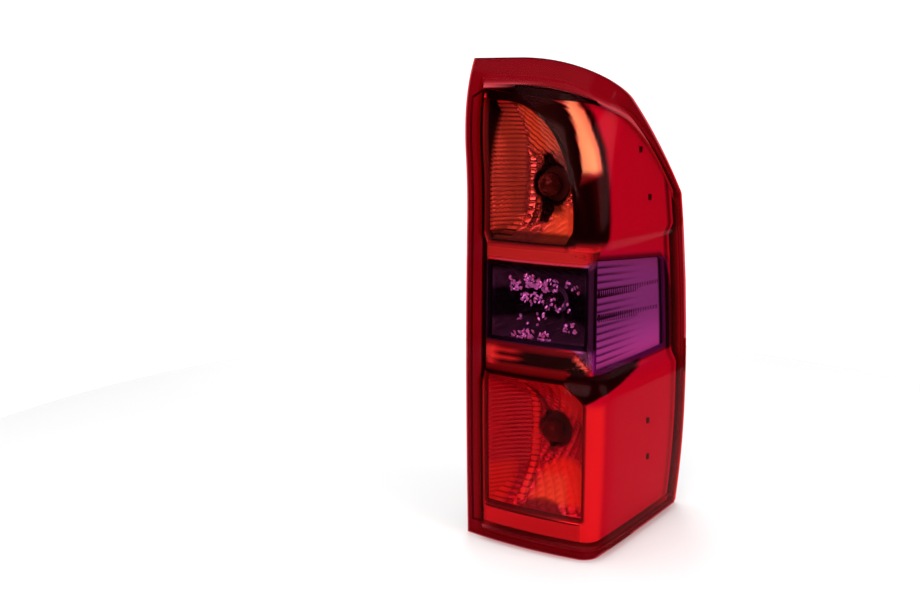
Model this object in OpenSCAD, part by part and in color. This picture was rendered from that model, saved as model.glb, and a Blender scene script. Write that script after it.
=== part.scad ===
// Wrap-around rear lamp for the right-hand corner of a car.
// Frame: the inner edge of the lens stands at the origin, +X points outboard,
// +Y points forward into the car, +Z up. The lamp stands on the bottom edge of its lens.

/* [Lens outline] */
// Height of the lens at its pointed inner corner
lens_h = 500; // [480:5:520]
// Width of the rear face at its bottom edge
lens_w = 142; // [136:1:150]
// Depth of the side face, from the inner edge to the front edge
lens_d = 212; // [205:1:222]
// Radius of the upright corner between the rear and side faces
corner_r = 14; // [10:1:18]
// How much that corner radius opens up towards the roof
corner_growth = 58; // [45:1:65]
// How far the rear face sweeps forward at the outer corner
rear_bow = 23; // [16:1:28]
// Outward swell of the side face below its middle
side_swell = 6; // [3:0.5:9]
// Radius of the forward curl at the top of the rear face
crown_r = 150; // [140:5:190]
// How far the top inner corner leans inboard
horn_reach = 17.4; // [8:0.2:22]
// Height of the roof line's front end over the top of the middle window
front_rise = 60; // [55:1:75]

/* [Lens section] */
// Wall of the lens
lens_t = 3; // [2.4:0.1:3.4]
// Width of the flat flange down the inner edge
flange_w = 17; // [14:0.5:20]
// Height of the flange along the bottom edge
flange_base = 9; // [7:0.5:10]
// Height of the flange along the top edge
flange_top = 20; // [17:0.5:22]
// How far the face stands proud of the flange
face_rise = 8; // [5:0.5:9]
// How far the face is set back at the waist
waist_drop = 6; // [3:0.5:6]
// Wall of the skirt behind the lens
skirt_t = 3; // [2:0.1:3.4]
// Depth of the inner skirt wall
skirt_depth = 55; // [52:1:62]
// Distance from the lens edges to the skirt
skirt_inset = 3.5; // [2:0.5:5]

/* [Lamp chambers] */
// Height of the lower window's bottom edge over the lamp's foot
low_z0 = 43; // [38:1:50]
// Share of the windows' height that the lower window takes
low_share = 0.3927; // [0.36:0.001:0.40]
// Height of the band between the lower and the middle window
low_band = 39; // [36:1:46]
// Share of the windows' height that the middle window takes
mid_share = 0.2232; // [0.21:0.001:0.23]
// Height of the band between the middle and the upper window
up_band = 23; // [20:1:28]
// Drop from the top corner of the lens to the top of the upper window
up_drop = 41; // [40:1:60]
// Inner edge of every window, from the inner edge of the lens
window_s0 = 24; // [22:0.5:28]
// Distance from the outer corner of the lens in to the upper window
up_margin = 27; // [24:1:38]
// Distance from the outer corner of the lens in to the lower window
low_margin = 12; // [10:1:26]
// Distance from the outer corner of the lens in to the middle window
mid_margin = 14; // [10:1:26]
// Depth from the lens face to the trim behind it
trim_gap = 9; // [8:0.5:11]
// Wall of the trim
trim_t = 2; // [1.6:0.1:2.4]
// Depth of the bevel round each rear window of the trim
bezel = 4; // [2:0.5:5]
// Width of that bevel
bezel_w = 5; // [3:0.5:7]
// Wall of the reflectors
reflector_t = 2; // [1.4:0.1:2.4]
// Clearance between parts that seat in each other
fit = 0.3; // [0.2:0.05:0.5]

/* [Bulbs and holders] */
// Diameter of the large bulbs' glass
bulb_d = 25; // [20:0.5:27]
// Diameter of the opening for a bulb in its reflector
bulb_hole_d = 36; // [33:0.5:38]
// Outside diameter of a bulb holder's plug
holder_d = 34; // [30:0.5:36]
// Thickness of a bulb holder's outer grip
holder_grip = 12; // [8:0.5:16]

/* [Housing and fixings] */
// Wall of the rear housing
housing_t = 3; // [2.4:0.1:3.6]
// Distance from the side face of the lens in to the side plate of the housing
side_gap = 30; // [28:1:36]
// Depth of the seal wall at its deepest
seal_depth = 98; // [90:1:106]
// Thickness of the foam seal
foam_t = 4; // [3:0.5:6]
// Thickness of the sheet brackets
bracket_t = 1.5; // [1:0.1:2]
// Width of a bracket's tongue
bracket_w = 44; // [36:1:50]
// Length of a bracket's tongue
bracket_l = 60; // [48:1:68]
// Width of the slot in a bracket's tip, for an M6 screw
slot_w = 6.5; // [6:0.1:7]
// Diameter of the locating pins
pin_d = 8; // [7:0.5:10]
// Length of the locating pins
pin_l = 18; // [14:1:24]

/* [Hidden] */
$fn = 48;

function lerp(a, b, t) = a + (b - a) * t;
function clamp01(t) = max(0, min(1, t));
function ease(a, b, t) = let (u = clamp01((t - a) / (b - a))) u * u * (3 - 2 * u);

// Heights and widths that follow from the sizes above
windows_h = lens_h - low_z0 - low_band - up_band - up_drop;
low_z1 = low_z0 + low_share * windows_h;
mid_z0 = low_z1 + low_band;
mid_z1 = mid_z0 + mid_share * windows_h;
mid_z = (mid_z0 + mid_z1) / 2;
up_z0 = mid_z1 + up_band;
up_z1 = lens_h - up_drop;
roof_drop = lens_h - mid_z1 - front_rise;
up_w = lens_w - window_s0 - up_margin;
low_w = lens_w - window_s0 - low_margin;
mid_w = lens_w - window_s0 - mid_margin;
side_x = lens_w - side_gap;

// Lens profile at a height: rear line, corner arc, side line
swell_z = 125;
upper_taper = 0.43;
lean_h = 160;
curl_h = 92;
hollow_y = 3.5;
hollow_top = lens_h - 70;
front_z = 80;
front_r = 2500;
opening_h = 170;
opening_full = 123;
side_bend_y = 60;
side_bend_r = 3333;
bow = rear_bow / pow(lens_w, 2);
function side_at(z) =
    lens_w + side_swell * (1 - pow((z - swell_z) / swell_z, 2) * (z < swell_z ? 1 : upper_taper));
function inner_x(z) = -horn_reach * pow(max(0, z - lens_h + lean_h) / lean_h, 2);
function inner_y(z) = let (d = max(0, z - lens_h + curl_h))
    crown_r - sqrt(pow(crown_r, 2) - pow(d, 2)) - hollow_y * sin(180 * clamp01(z / hollow_top));
function front_y(z) = lens_d - pow(z - front_z, 2) / (2 * front_r);
function corner_at(z) = corner_r + corner_growth * pow(max(0, z - lens_h + opening_h) / opening_full, 1.5);
function turn_in(z) = atan(2 * bow * (side_at(z) - corner_at(z)));
function arc_r(z) = corner_at(z) / (1 - sin(turn_in(z)));
function rear_len(z) = side_at(z) - corner_at(z) - inner_x(z);
function arc_len(z) = arc_r(z) * (90 - turn_in(z)) * PI / 180;
function side_start(z) = inner_y(z) + bow * pow(side_at(z) - corner_at(z), 2) + arc_r(z) * cos(turn_in(z));
function run(z) = rear_len(z) + arc_len(z) + front_y(z) - side_start(z);

// A point at arc length s and height z, moved outwards by h
function skin(s, z, h = 0) = let (la = rear_len(z), lb = arc_len(z))
    s < la ? skin_rear(inner_x(z) + s, z, h)
    : s < la + lb ? skin_arc(turn_in(z) + (s - la) / arc_r(z) * 180 / PI, z, h)
    : skin_side(side_start(z) + s - la - lb, z, h);
function skin_rear(x, z, h) = let (a = atan(2 * bow * abs(x)))
    [x + h * sin(a), inner_y(z) + bow * x * abs(x) - h * cos(a), z];
function skin_arc(a, z, h) = let (r = arc_r(z), t = turn_in(z))
    [side_at(z) - corner_at(z) + r * (sin(a) - sin(t)) + h * sin(a),
     side_start(z) - r * cos(a) - h * cos(a), z];
function skin_side(y, z, h) = [side_at(z) - pow(max(0, y - side_bend_y), 2) / (2 * side_bend_r) + h, y, z];

// Top edge of the lens and top of the lamp body, for a column at s = a + b * run
roof_start = 0.2;
roof_power = 2.5;
roof_turns = 4;
tip = 0.1;
function roof_at(c) = lens_h - roof_drop * pow(max(0, c - roof_start) / (1 - roof_start), roof_power);
function roof(a, b, z = lens_h, n = roof_turns) = n == 0 ? z
    : roof(a, b, roof_at(clamp01(a / run(min(z, lens_h - tip)) + b)), n - 1);
body_drop = flange_top + 6;
horn_drop = 38;
horn_slope = 0.6;
function body_top(a, b) =
    min(roof(a, b) - body_drop, lens_h - horn_drop + (a + b * lens_h - skirt_inset) * horn_slope);

// A closed shell from a grid: cells in use, an optional ring of cells that runs back as a skirt
function quad(a, b, c, d) = [[a, b, c], [a, c, d]];
function sides(i, j) = [[i, j, i + 1, j, i, j - 1], [i + 1, j, i + 1, j + 1, i + 1, j],
                        [i + 1, j + 1, i, j + 1, i, j + 1], [i, j + 1, i, j, i - 1, j]];
module shell(outer, inner, used, ring = [], skirt = []) {
    ni = len(outer);
    nj = len(outer[0]);
    n = ni * nj;
    function in_use(i, j) = i >= 0 && j >= 0 && i < ni - 1 && j < nj - 1 && used[i][j];
    function in_ring(i, j) = len(ring) > 0 && ring[i][j];
    faces = [for (i = [0 : ni - 2], j = [0 : nj - 2]) if (used[i][j])
        let (p = i * nj + j, back = in_ring(i, j) ? 2 * n : n)
        each concat(
            quad(p, p + 1, p + nj + 1, p + nj),
            quad(back + p, back + p + nj, back + p + nj + 1, back + p + 1),
            [for (e = sides(i, j)) let (a = e[0] * nj + e[1], b = e[2] * nj + e[3])
                each !in_use(e[4], e[5]) ? quad(a, b, n + b, n + a)
                    : in_ring(i, j) && !in_ring(e[4], e[5]) ? quad(n + a, n + b, 2 * n + b, 2 * n + a)
                    : []])];
    polyhedron(points = concat([for (c = outer) each c], [for (c = inner) each c], [for (c = skirt) each c]),
               faces = faces, convexity = 8);
}

// Lens grid: columns at s = a + b * run(z), rows by height
step_w = 3;
side_flange = 15;
side_window_end = 40;
front_inset = skirt_inset + 2;
corner_s = lens_w - 34;
corner_end = lens_w + 22;
rear_n = 8;
corner_n = 12;
side_n = 7;
window_i0 = 5;
window_i1 = window_i0 + rear_n + corner_n + side_n;
corner_col = window_i0 + rear_n + corner_n / 2;
edge_stops = [0, skirt_inset, skirt_inset + skirt_t, flange_w, flange_w + step_w, flange_w + 2 * step_w];
front_stops = [side_flange + 2 * step_w + 4, side_flange + step_w, side_flange,
               front_inset + 2 * skirt_t, front_inset + skirt_t, 0];
lens_cols = concat(
    [for (s = edge_stops) [s, 0]],
    [for (k = [1 : rear_n]) [lerp(flange_w + 2 * step_w, corner_s, k / rear_n), 0]],
    [for (k = [1 : corner_n]) [lerp(corner_s, corner_end, k / corner_n), 0]],
    [for (k = [1 : side_n]) [lerp(corner_end, -side_window_end, k / side_n), k / side_n]],
    [for (s = front_stops) [-s, 1]]);
last_col = len(lens_cols) - 1;
function lens_s(i, z) = lens_cols[i][0] + lens_cols[i][1] * run(z);
function near_s(i) = lens_s(i, mid_z);
// Bottom and top of the middle window, level at the rear and flared on the side face
post_s = lens_w + 4;
flare_s = lens_w - 26;
side_z0 = mid_z0 - 23;
side_z1 = mid_z1 + 12;
side_slope = 0.1;
end_round = 12;
end_curve = 0.05;
function mid_low(s) = lerp(mid_z0, side_z0, ease(flare_s, post_s, s));
function mid_high(s) = lerp(mid_z1, side_z1, ease(flare_s, post_s, s)) - max(0, s - post_s) * side_slope
    - end_curve * pow(max(0, s - run(mid_z) + side_window_end + end_round), 2);
waist_z0 = side_z0 - 7;
waist_z1 = side_z1 + 4;
shoulder = 16;
face_z0 = flange_base + step_w;
floor_z = face_z0 + 2.5;
low_n = 6;
mid_n = 4;
up_n = 10;
waist_j0 = 5 + low_n;
low_row = waist_j0 + 1;
high_row = low_row + mid_n;
waist_j1 = high_row + 1;
function lens_rows(i) =
    let (c = lens_cols[i], top = roof(c[0], c[1]), body = body_top(c[0], c[1]), s = near_s(i))
    concat([0, flange_base, face_z0, floor_z, floor_z + skirt_t],
           [for (k = [1 : low_n]) lerp(floor_z + skirt_t, waist_z0 - shoulder, k / low_n)],
           [waist_z0],
           [for (k = [0 : mid_n]) lerp(mid_low(s), mid_high(s), k / mid_n)],
           [waist_z1],
           [for (k = [0 : up_n]) lerp(min(waist_z1 + shoulder, body - skirt_t - 8), body - skirt_t, k / up_n)],
           [body, top - flange_top, top - flange_top + step_w, top]);
row_z = [for (i = [0 : last_col]) lens_rows(i)];
last_row = len(row_z[0]) - 1;
// Height of the face above the flange surface at a grid point
function rise(i, j) = i < 4 || i > last_col - 4 || j < 2 || j > last_row - 2 ? 0
    : face_rise - waist_drop * (j >= waist_j0 && j <= waist_j1 ? 1 : 0);
function lens_point(i, j, h) = let (z = min(row_z[i][j], lens_h - tip)) skin(lens_s(i, z), z, h + rise(i, j));
// Line where the skirt meets the housing: along the rear plate, then along the side plate
seat_y = skirt_depth;
seat_front = lens_d - 20;
seat_i0 = 2;
seat_i1 = last_col - 2;
function share(i, i0, i1) = (near_s(i) - near_s(i0)) / (near_s(i1) - near_s(i0));
function seat_at(i) = i <= 1 ? [skirt_inset, seat_y]
    : i <= corner_col ? [lerp(skirt_inset + skirt_t, side_x, share(i, seat_i0, corner_col)), seat_y]
    : i >= last_col - 1 ? [side_x, seat_front]
    : [side_x, lerp(seat_y, seat_front - skirt_t, share(i, corner_col, seat_i1))];
function seat_point(i, j) = let (p = seat_at(i)) [p[0], p[1], row_z[i][j]];
lens_outer = [for (i = [0 : last_col]) [for (j = [0 : last_row]) lens_point(i, j, 0)]];
lens_inner = [for (i = [0 : last_col]) [for (j = [0 : last_row]) lens_point(i, j, -lens_t)]];
lens_skirt = [for (i = [0 : last_col]) [for (j = [0 : last_row]) seat_point(i, j)]];
function in_window(i, j) = i >= window_i0 && i < window_i1 && j >= low_row && j < high_row;
skirt_row = last_row - 4;
function on_skirt(i, j) = i >= 1 && i <= last_col - 2 && j >= 3 && j <= skirt_row
    && (i == 1 || i == last_col - 2 || j == 3 || j == skirt_row);
lens_cells = [for (i = [0 : last_col - 1]) [for (j = [0 : last_row - 1]) !in_window(i, j)]];
window_cells = [for (i = [0 : last_col - 1]) [for (j = [0 : last_row - 1]) in_window(i, j)]];
skirt_cells = [for (i = [0 : last_col - 1]) [for (j = [0 : last_row - 1]) on_skirt(i, j)]];

module lens_red() {
    color([0.78, 0.03, 0.10])
        shell(lens_outer, lens_inner, lens_cells, skirt_cells, lens_skirt);
}

module lens_middle() {
    color([0.45, 0.14, 0.46])
        shell(lens_outer, lens_inner, window_cells);
}

// Trim frame behind the lens: chrome rear face with bevelled windows, smooth side panel
up_cut = 8;
up_cut_h = 13;
up_round = 3.2;
up_power = 0.385;
low_cut = 22;
low_cut_h = 19;
function up_right(z) = let (u = clamp01((z - up_z0) / (up_z1 + 0.5 - up_z0)))
    window_s0 + up_w * pow(1 - pow(u, up_round), up_power) - up_cut * clamp01(1 - (z - up_z0) / up_cut_h);
function low_right(z) = window_s0 + low_w - low_cut * pow(clamp01((z - low_z1 + low_cut_h) / low_cut_h), 1.5);
function window_right(z) = z < (low_z1 + mid_z0) / 2 ? low_right(z)
    : z < (mid_z1 + up_z0) / 2 ? window_s0 + mid_w : up_right(z);
trim_edge = 20;
trim_end = 3;
win_n = 6;
post_n = 3;
panel_n = 6;
win_i1 = 1 + win_n;
post_i1 = win_i1 + post_n;
panel_i1 = post_i1 + panel_n;
last_trim_col = panel_i1 + 1;
function trim_s(i, z) = i == 0 ? flange_w + step_w + 1
    : i <= win_i1 ? lerp(window_s0, window_right(z), (i - 1) / win_n)
    : i <= post_i1 ? lerp(window_right(z) + bezel_w, post_s, (i - win_i1 - 1) / (post_n - 1))
    : i <= panel_i1 ? lerp(post_s, run(z) - side_window_end - trim_end, (i - post_i1) / panel_n)
    : run(z) - trim_edge - 4;
// Shares of a window's height, closer together where its outline turns
up_stops = [0, 0.05, 0.1, 0.24, 0.41, 0.56, 0.69, 0.81, 0.9, 0.96, 1];
function trim_top(i) = i <= win_i1 ? up_z1 + 7
    : i <= post_i1 ? body_top(lerp(window_s0 + up_w + bezel_w, post_s, (i - win_i1 - 1) / (post_n - 1)), 0) - 7
    : i <= panel_i1 ? let (c = (i - post_i1) / panel_n)
        body_top(lerp(post_s, -side_window_end - trim_end, c), c) - 7
    : body_top(-trim_edge - 4, 1) - 7;
function trim_rows(i) =
    let (s = i <= win_i1 ? flare_s : trim_s(i, mid_z), high = i <= win_i1 ? up_z1 : trim_top(i) - 1)
    concat([floor_z + skirt_t + 2, low_z0 - bezel_w],
           [for (k = [0 : 3]) lerp(low_z0, low_z1 - low_cut_h, k / 3)],
           [for (k = [1 : 4]) low_z1 - low_cut_h * pow(1 - k / 4, 1.3)],
           [low_z1 + bezel_w, mid_low(s) + 2 - bezel_w],
           [for (k = [0 : 2]) lerp(mid_low(s) + 2, mid_high(s) - 2, k / 2)],
           [mid_high(s) - 2 + bezel_w, max(up_z0 - bezel_w, mid_high(s) + bezel_w)],
           [for (u = up_stops) lerp(up_z0, high, u)], [trim_top(i)]);
low_j = [2, 9];
mid_j = [12, 14];
up_j = [17, 17 + len(up_stops) - 1];
trim_z = [for (i = [0 : last_trim_col]) trim_rows(i)];
last_trim = len(trim_z[0]) - 1;
function face_at(z) = face_rise - waist_drop * min(ease(waist_z0 - shoulder, waist_z0, z),
                                                   1 - ease(waist_z1, waist_z1 + shoulder, z));
function at_window(i, j) = i >= 1 && i <= win_i1
    && (j >= low_j[0] && j <= low_j[1] || j >= mid_j[0] && j <= mid_j[1] || j >= up_j[0] && j <= up_j[1]);
function trim_point(i, j, h) = let (z = trim_z[i][j])
    skin(trim_s(i, z), z, face_at(z) - trim_gap - (at_window(i, j) ? bezel : 0) + h);
function in_rows(j, w) = j >= w[0] && j < w[1];
function trim_open(i, j) =
    (i >= 1 && i < win_i1 && (in_rows(j, low_j) || in_rows(j, mid_j) || in_rows(j, up_j)))
    || (i >= post_i1 && i < panel_i1 && in_rows(j, mid_j));
trim_outer = [for (i = [0 : last_trim_col]) [for (j = [0 : last_trim]) trim_point(i, j, 0)]];
trim_inner = [for (i = [0 : last_trim_col]) [for (j = [0 : last_trim]) trim_point(i, j, -trim_t)]];
trim_cells = [for (i = [0 : last_trim_col - 1]) [for (j = [0 : last_trim - 1]) !trim_open(i, j)]];

module trim_frame() {
    color([0.80, 0.80, 0.82])
        shell(trim_outer, trim_inner, trim_cells);
}

// Fluted panel behind the side part of the middle window
flutes = 15;
flute_rise = 1.4;
flute_t = 1.5;
flute_cols = 6;
function flute_s(i, z) = i == 0 ? post_s - 3 : i == flute_cols ? run(z) - side_window_end - 1
    : lerp(post_s, run(z) - side_window_end - trim_end, (i - 1) / (flute_cols - 2));
function flute_z(i, j) = lerp(side_z0 + 1, mid_high(max(post_s, flute_s(i, mid_z))) - 3, j / (2 * flutes));
function flute_point(i, j, h) = let (z = flute_z(i, j)) skin(flute_s(i, z), z, behind_trim_h(z) - h);
function flute_valley(i, j) = j % 2 == 0 || i == 0 || i == flute_cols ? flute_rise : 0;
flute_outer = [for (i = [0 : flute_cols]) [for (j = [0 : 2 * flutes]) flute_point(i, j, flute_valley(i, j))]];
flute_inner = [for (i = [0 : flute_cols]) [for (j = [0 : 2 * flutes]) flute_point(i, j, flute_rise + flute_t)]];
flute_cells = [for (i = [0 : flute_cols - 1]) [for (j = [0 : 2 * flutes - 1]) true]];

module side_fluting() {
    color([0.62, 0.30, 0.62])
        shell(flute_outer, flute_inner, flute_cells);
}

// Faceted reflector bowls: a loop of rim points, rings of facets, a round opening and a collar
// that stands on the housing. axis is 1 for a bowl that opens to the rear, 0 to the side.
bowl_rings = 7;
collar_t = 1.6;
function across(p, axis) = axis == 1 ? [p[0], p[2]] : [p[1], p[2]];
function placed(w, deep, axis) = axis == 1 ? [w[0], deep, w[1]] : [deep, w[0], w[1]];
function bowl_seen(f, c, back, base, r, axis, k, j, facet) =
    let (q = across(f, axis) - c, n = norm(q), u = min(1, j / bowl_rings),
         cell = j > 0 && j < bowl_rings ? facet * ((k + j) % 2) : 0)
    placed(c + q * lerp(n, r, u) / n, j > bowl_rings ? base : lerp(back, f[axis], pow(1 - u, 2)) + cell, axis);
function bowl_rear(f, c, back, base, r, axis, j, t) =
    let (q = across(f, axis) - c, n = norm(q), u = min(1, j / bowl_rings))
    placed(c + q * (lerp(n, r, u) + lerp(abs(t), collar_t, u)) / n,
           j > bowl_rings ? base : lerp(back, f[axis], pow(1 - u, 2)) + t * min(1, 2 * u), axis);
module bowl(rim, c, back, base, r, axis, t, facet) {
    n = len(rim);
    m = bowl_rings + 2;
    seen = [for (k = [0 : n - 1], j = [0 : m - 1]) bowl_seen(rim[k], c, back, base, r, axis, k, j, facet)];
    rear = [for (k = [0 : n - 1], j = [0 : m - 1]) bowl_rear(rim[k], c, back, base, r, axis, j, t)];
    a = n * m;
    faces = [for (k = [0 : n - 1]) let (p = k * m, q = ((k + 1) % n) * m) each concat(
        [for (j = [0 : m - 2]) each concat(quad(p + j, p + j + 1, q + j + 1, q + j),
            quad(a + p + j, a + q + j, a + q + j + 1, a + p + j + 1))],
        quad(p, q, a + q, a + p),
        quad(q + m - 1, p + m - 1, a + p + m - 1, a + q + m - 1))];
    polyhedron(points = concat(seen, rear), faces = faces, convexity = 8);
}
function behind_trim_h(z) = face_at(z) - trim_gap - trim_t - fit;
function behind_window(p) = skin(p[0], p[1], behind_trim_h(p[1]) - bezel);
reflector_back = seat_y - 7;
reflector_base = seat_y - fit;
rim_n = 10;

// Window outline, from its lower inner corner and on along the bottom edge
function window_loop(z0, z1, right) = concat(
    [for (k = [0 : rim_n - 1]) [lerp(window_s0, right(z0), k / rim_n), z0]],
    [for (k = [0 : rim_n]) let (z = lerp(z0, z1, 1 - pow(1 - k / (rim_n + 1), 1.5))) [right(z), z]],
    [for (k = [0 : rim_n - 1]) [lerp(right(z1), window_s0, k / rim_n), z1]],
    [for (k = [0 : rim_n - 1]) [window_s0, lerp(z1, z0, k / rim_n)]]);
upper_c = [side_x - 41, lerp(up_z0, up_z1, 0.4)];
lower_c = [side_x - 31, lerp(low_z0, low_z1, 0.575)];
middle_c = [side_x - 36, mid_z];
side_c = [95, mid_z - 4.5];
middle_holder_d = holder_d - 6;
middle_bulb_d = bulb_d - 6;
side_holder_d = 20;
side_bulb_d = 10;
side_bulb_reach = 13;

module rear_bowl(loop, c, r) {
    bowl([for (p = loop) behind_window(p)], c, reflector_back, reflector_base, r, 1, reflector_t, 1);
}
module upper_reflector() {
    color([0.85, 0.35, 0.30])
        rear_bowl(window_loop(up_z0, up_z1, function(z) up_right(z)), upper_c, bulb_hole_d / 2);
}
module middle_reflector() {
    color([0.70, 0.55, 0.75])
        rear_bowl(window_loop(mid_z0 + 2, mid_z1 - 2, function(z) window_s0 + mid_w), middle_c,
                  middle_holder_d / 2 + 1);
}
module lower_reflector() {
    color([0.85, 0.35, 0.30])
        rear_bowl(window_loop(low_z0, low_z1, function(z) low_right(z)), lower_c, bulb_hole_d / 2);
}

// Shallow bowl that carries the fluted panel
side_bowl_y = [48, lens_d - 60];
side_bowl_z = [side_z0 + 6, side_z1 - 26];
function side_s(y, z) = rear_len(z) + arc_len(z) + y - side_start(z);
function behind_flutes(y, z) = skin(side_s(y, z), z, behind_trim_h(z) - flute_rise - flute_t - fit);
module side_reflector() {
    y = side_bowl_y;
    z = side_bowl_z;
    loop = concat([for (k = [0 : rim_n - 1]) [lerp(y[0], y[1], k / rim_n), z[0]]],
                  [for (k = [0 : rim_n - 1]) [y[1], lerp(z[0], z[1], k / rim_n)]],
                  [for (k = [0 : rim_n - 1]) [lerp(y[1], y[0], k / rim_n), z[1]]],
                  [for (k = [0 : rim_n - 1]) [y[0], lerp(z[1], z[0], k / rim_n)]]);
    color([0.80, 0.80, 0.82])
        bowl([for (p = loop) behind_flutes(p[0], p[1])], side_c, side_x + 6, side_x + fit,
             side_holder_d / 2 + 1, 0, -reflector_t, -0.6);
}

// Bulb axes: z = 0 is the chamber side of the housing wall and +z leads out of the lamp
module on_rear(c) {
    translate([c[0], seat_y, c[1]]) rotate([-90, 0, 0]) children();
}
module on_side(c) {
    translate([side_x, c[0], c[1]]) rotate([0, -90, 0]) children();
}
seal_t = 2;
flange_t = 3;
plug_in = 4;
base_d = 15;
side_base_d = 9;
base_in = 9;
bulb_reach = 26;
module bulb(d, reach, base) {
    rotate_extrude() polygon(concat([[0, base_in], [base / 2, base_in], [base / 2, -3], [base / 2 - 0.6, -3.6]],
        [for (a = [-45 : 15 : 90]) [a < 90 ? d / 2 * cos(a) : 0, -reach + d / 2 - d / 2 * sin(a)]]));
    translate([-base / 2 - 0.2, 0, 3]) rotate([0, 90, 0]) cylinder(d = 1.6, h = base + 0.4, $fn = 12);
}
module holder(d, base) {
    grip_h = flange_t + holder_grip;
    difference() {
        union() {
            translate([0, 0, -plug_in]) cylinder(d = d, h = plug_in + housing_t + seal_t + flange_t);
            translate([0, 0, housing_t + seal_t]) cylinder(d = d + 4, h = flange_t);
            translate([0, 0, housing_t + seal_t]) cylinder(d = d * 0.7, h = grip_h);
            translate([-d / 2, -2, housing_t + seal_t]) cube([d, 4, grip_h - 2]);
        }
        translate([0, 0, -plug_in - 1]) cylinder(d = base + 2 * fit, h = plug_in + 1 + base_in + fit);
        translate([-base / 2 - 1, -1.2, -plug_in - 1]) cube([base + 2, 2.4, plug_in + 5]);
    }
}
module seal_ring(d) {
    translate([0, 0, housing_t]) difference() {
        cylinder(d = d + 3, h = seal_t);
        translate([0, 0, -1]) cylinder(d = d + 2 * fit, h = seal_t + 2);
    }
}

module upper_bulb() {
    color([0.9, 0.9, 0.85]) on_rear(upper_c) bulb(bulb_d, bulb_reach, base_d);
}
module middle_bulb() {
    color([0.9, 0.9, 0.85]) on_rear(middle_c) bulb(middle_bulb_d, bulb_reach, base_d);
}
module lower_bulb() {
    color([0.9, 0.9, 0.85]) on_rear(lower_c) bulb(bulb_d, bulb_reach, base_d);
}
module side_bulb() {
    color([0.9, 0.6, 0.2]) on_side(side_c) bulb(side_bulb_d, side_bulb_reach, side_base_d);
}
module upper_holder() {
    color([0.12, 0.12, 0.13]) on_rear(upper_c) holder(holder_d, base_d);
}
module middle_holder() {
    color([0.35, 0.35, 0.37]) on_rear(middle_c) holder(middle_holder_d, base_d);
}
module lower_holder() {
    color([0.12, 0.12, 0.13]) on_rear(lower_c) holder(holder_d, base_d);
}
module side_holder() {
    color([0.35, 0.35, 0.37]) on_side(side_c) holder(side_holder_d, side_base_d);
}
module holder_seals() {
    color([0.65, 0.25, 0.10]) {
        on_rear(upper_c) seal_ring(holder_d);
        on_rear(lower_c) seal_ring(holder_d);
        on_rear(middle_c) seal_ring(middle_holder_d);
        on_side(side_c) seal_ring(side_holder_d);
    }
}

// Seal wall: a frame that stands on the rear plate and deepens towards the bottom
plate_y = seat_y + housing_t;
wall_x = [8, side_x - 7];
wall_z = [34, lens_h - 62];
wall_cut = [18, 31];
// Crest of the seal wall: share of its depth, and share of the lens height
crest = [[0.08, 0.04], [0.2, 0.08], [0.7, 0.11], [1, 0.166], [0.62, 0.274], [0.43, 0.38], [0.28, 0.456],
         [0.15, 0.62], [0.1, 0.69], [0.1, 0.9]];
function crest_y(k) = lerp(plate_y, seal_depth, crest[k][0]);
function crest_z(k) = crest[k][1] * lens_h;
function wall_loop(d) = [[wall_x[0] - d, wall_z[0] - d], [wall_x[1] + d, wall_z[0] - d],
                         [wall_x[1] + d, wall_z[1] - wall_cut[1] + 0.4 * d],
                         [wall_x[1] - wall_cut[0] + 0.6 * d, wall_z[1] + d], [wall_x[0] - d, wall_z[1] + d]];
module wall_ring(d0, d1) {
    translate([0, lens_d, 0]) rotate([90, 0, 0]) linear_extrude(height = lens_d) difference() {
        polygon(wall_loop(d1));
        polygon(wall_loop(d0));
    }
}
// Slice between the plate or the crest and a height over the crest
module crest_slice(low, high) {
    n = len(crest) - 1;
    upper = [for (k = [n : -1 : 0]) [crest_y(k) + high, crest_z(k)]];
    lower = low > 0 ? [[low, crest_z(0)], [low, crest_z(n)]] : [for (k = [0 : n]) [crest_y(k), crest_z(k)]];
    rotate([90, 0, 90]) linear_extrude(height = lens_w) polygon(concat(lower, upper));
}

// Housing: rear plate and side plate follow the end of the skirt
body_row = last_row - 3;
rear_outline = concat([[skirt_inset, floor_z], [side_x, floor_z]],
    [for (i = [corner_col : -1 : 1]) [seat_at(i)[0], row_z[i][body_row]]]);
side_outline = concat([[seat_y, floor_z], [seat_front, floor_z]],
    [for (i = [last_col - 1 : -1 : corner_col]) [seat_at(i)[1], row_z[i][body_row]]]);
pad_t = 6;
pad_y = plate_y + pad_t;
pad_x = [19, 42];
pad_h = 24;
bracket_z = [low_z0 + 49, mid_z + 7.5];
screw_d = 4;
screw_x = [24, 36];
ear_t = 6;
ear_y = seat_front - 10;
ear_h = 20;
ear_rib = 16;
stem_d = 5;
pin_x = side_x - 13;
pin_z = [low_z0 + 67, mid_z1];
vent_at = [[40, wall_z[1] - 14], [wall_x[1] - 15, wall_z[0] + 26]];
vent_d = 9;
vent_bore = 4;
vent_h = 8;
rib_z = [lerp(lower_c[1], mid_z, 0.2), lerp(lower_c[1], mid_z, 0.6), lerp(mid_z, upper_c[1], 0.55)];
rib_h = 4;
rib_t = 2;
module bracket_pad(z) {
    translate([pad_x[0], plate_y - 1, z - pad_h / 2]) cube([pad_x[1] - pad_x[0], pad_t + 1, pad_h]);
}
module pin_ear(z) {
    translate([pin_x - 9, ear_y, z - ear_h / 2]) cube([side_x - housing_t - pin_x + 10, ear_t, ear_h]);
    translate([pin_x - 6, ear_y - ear_rib, z - housing_t / 2])
        cube([side_x - housing_t - pin_x + 7, ear_rib + 1, housing_t]);
}
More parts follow.
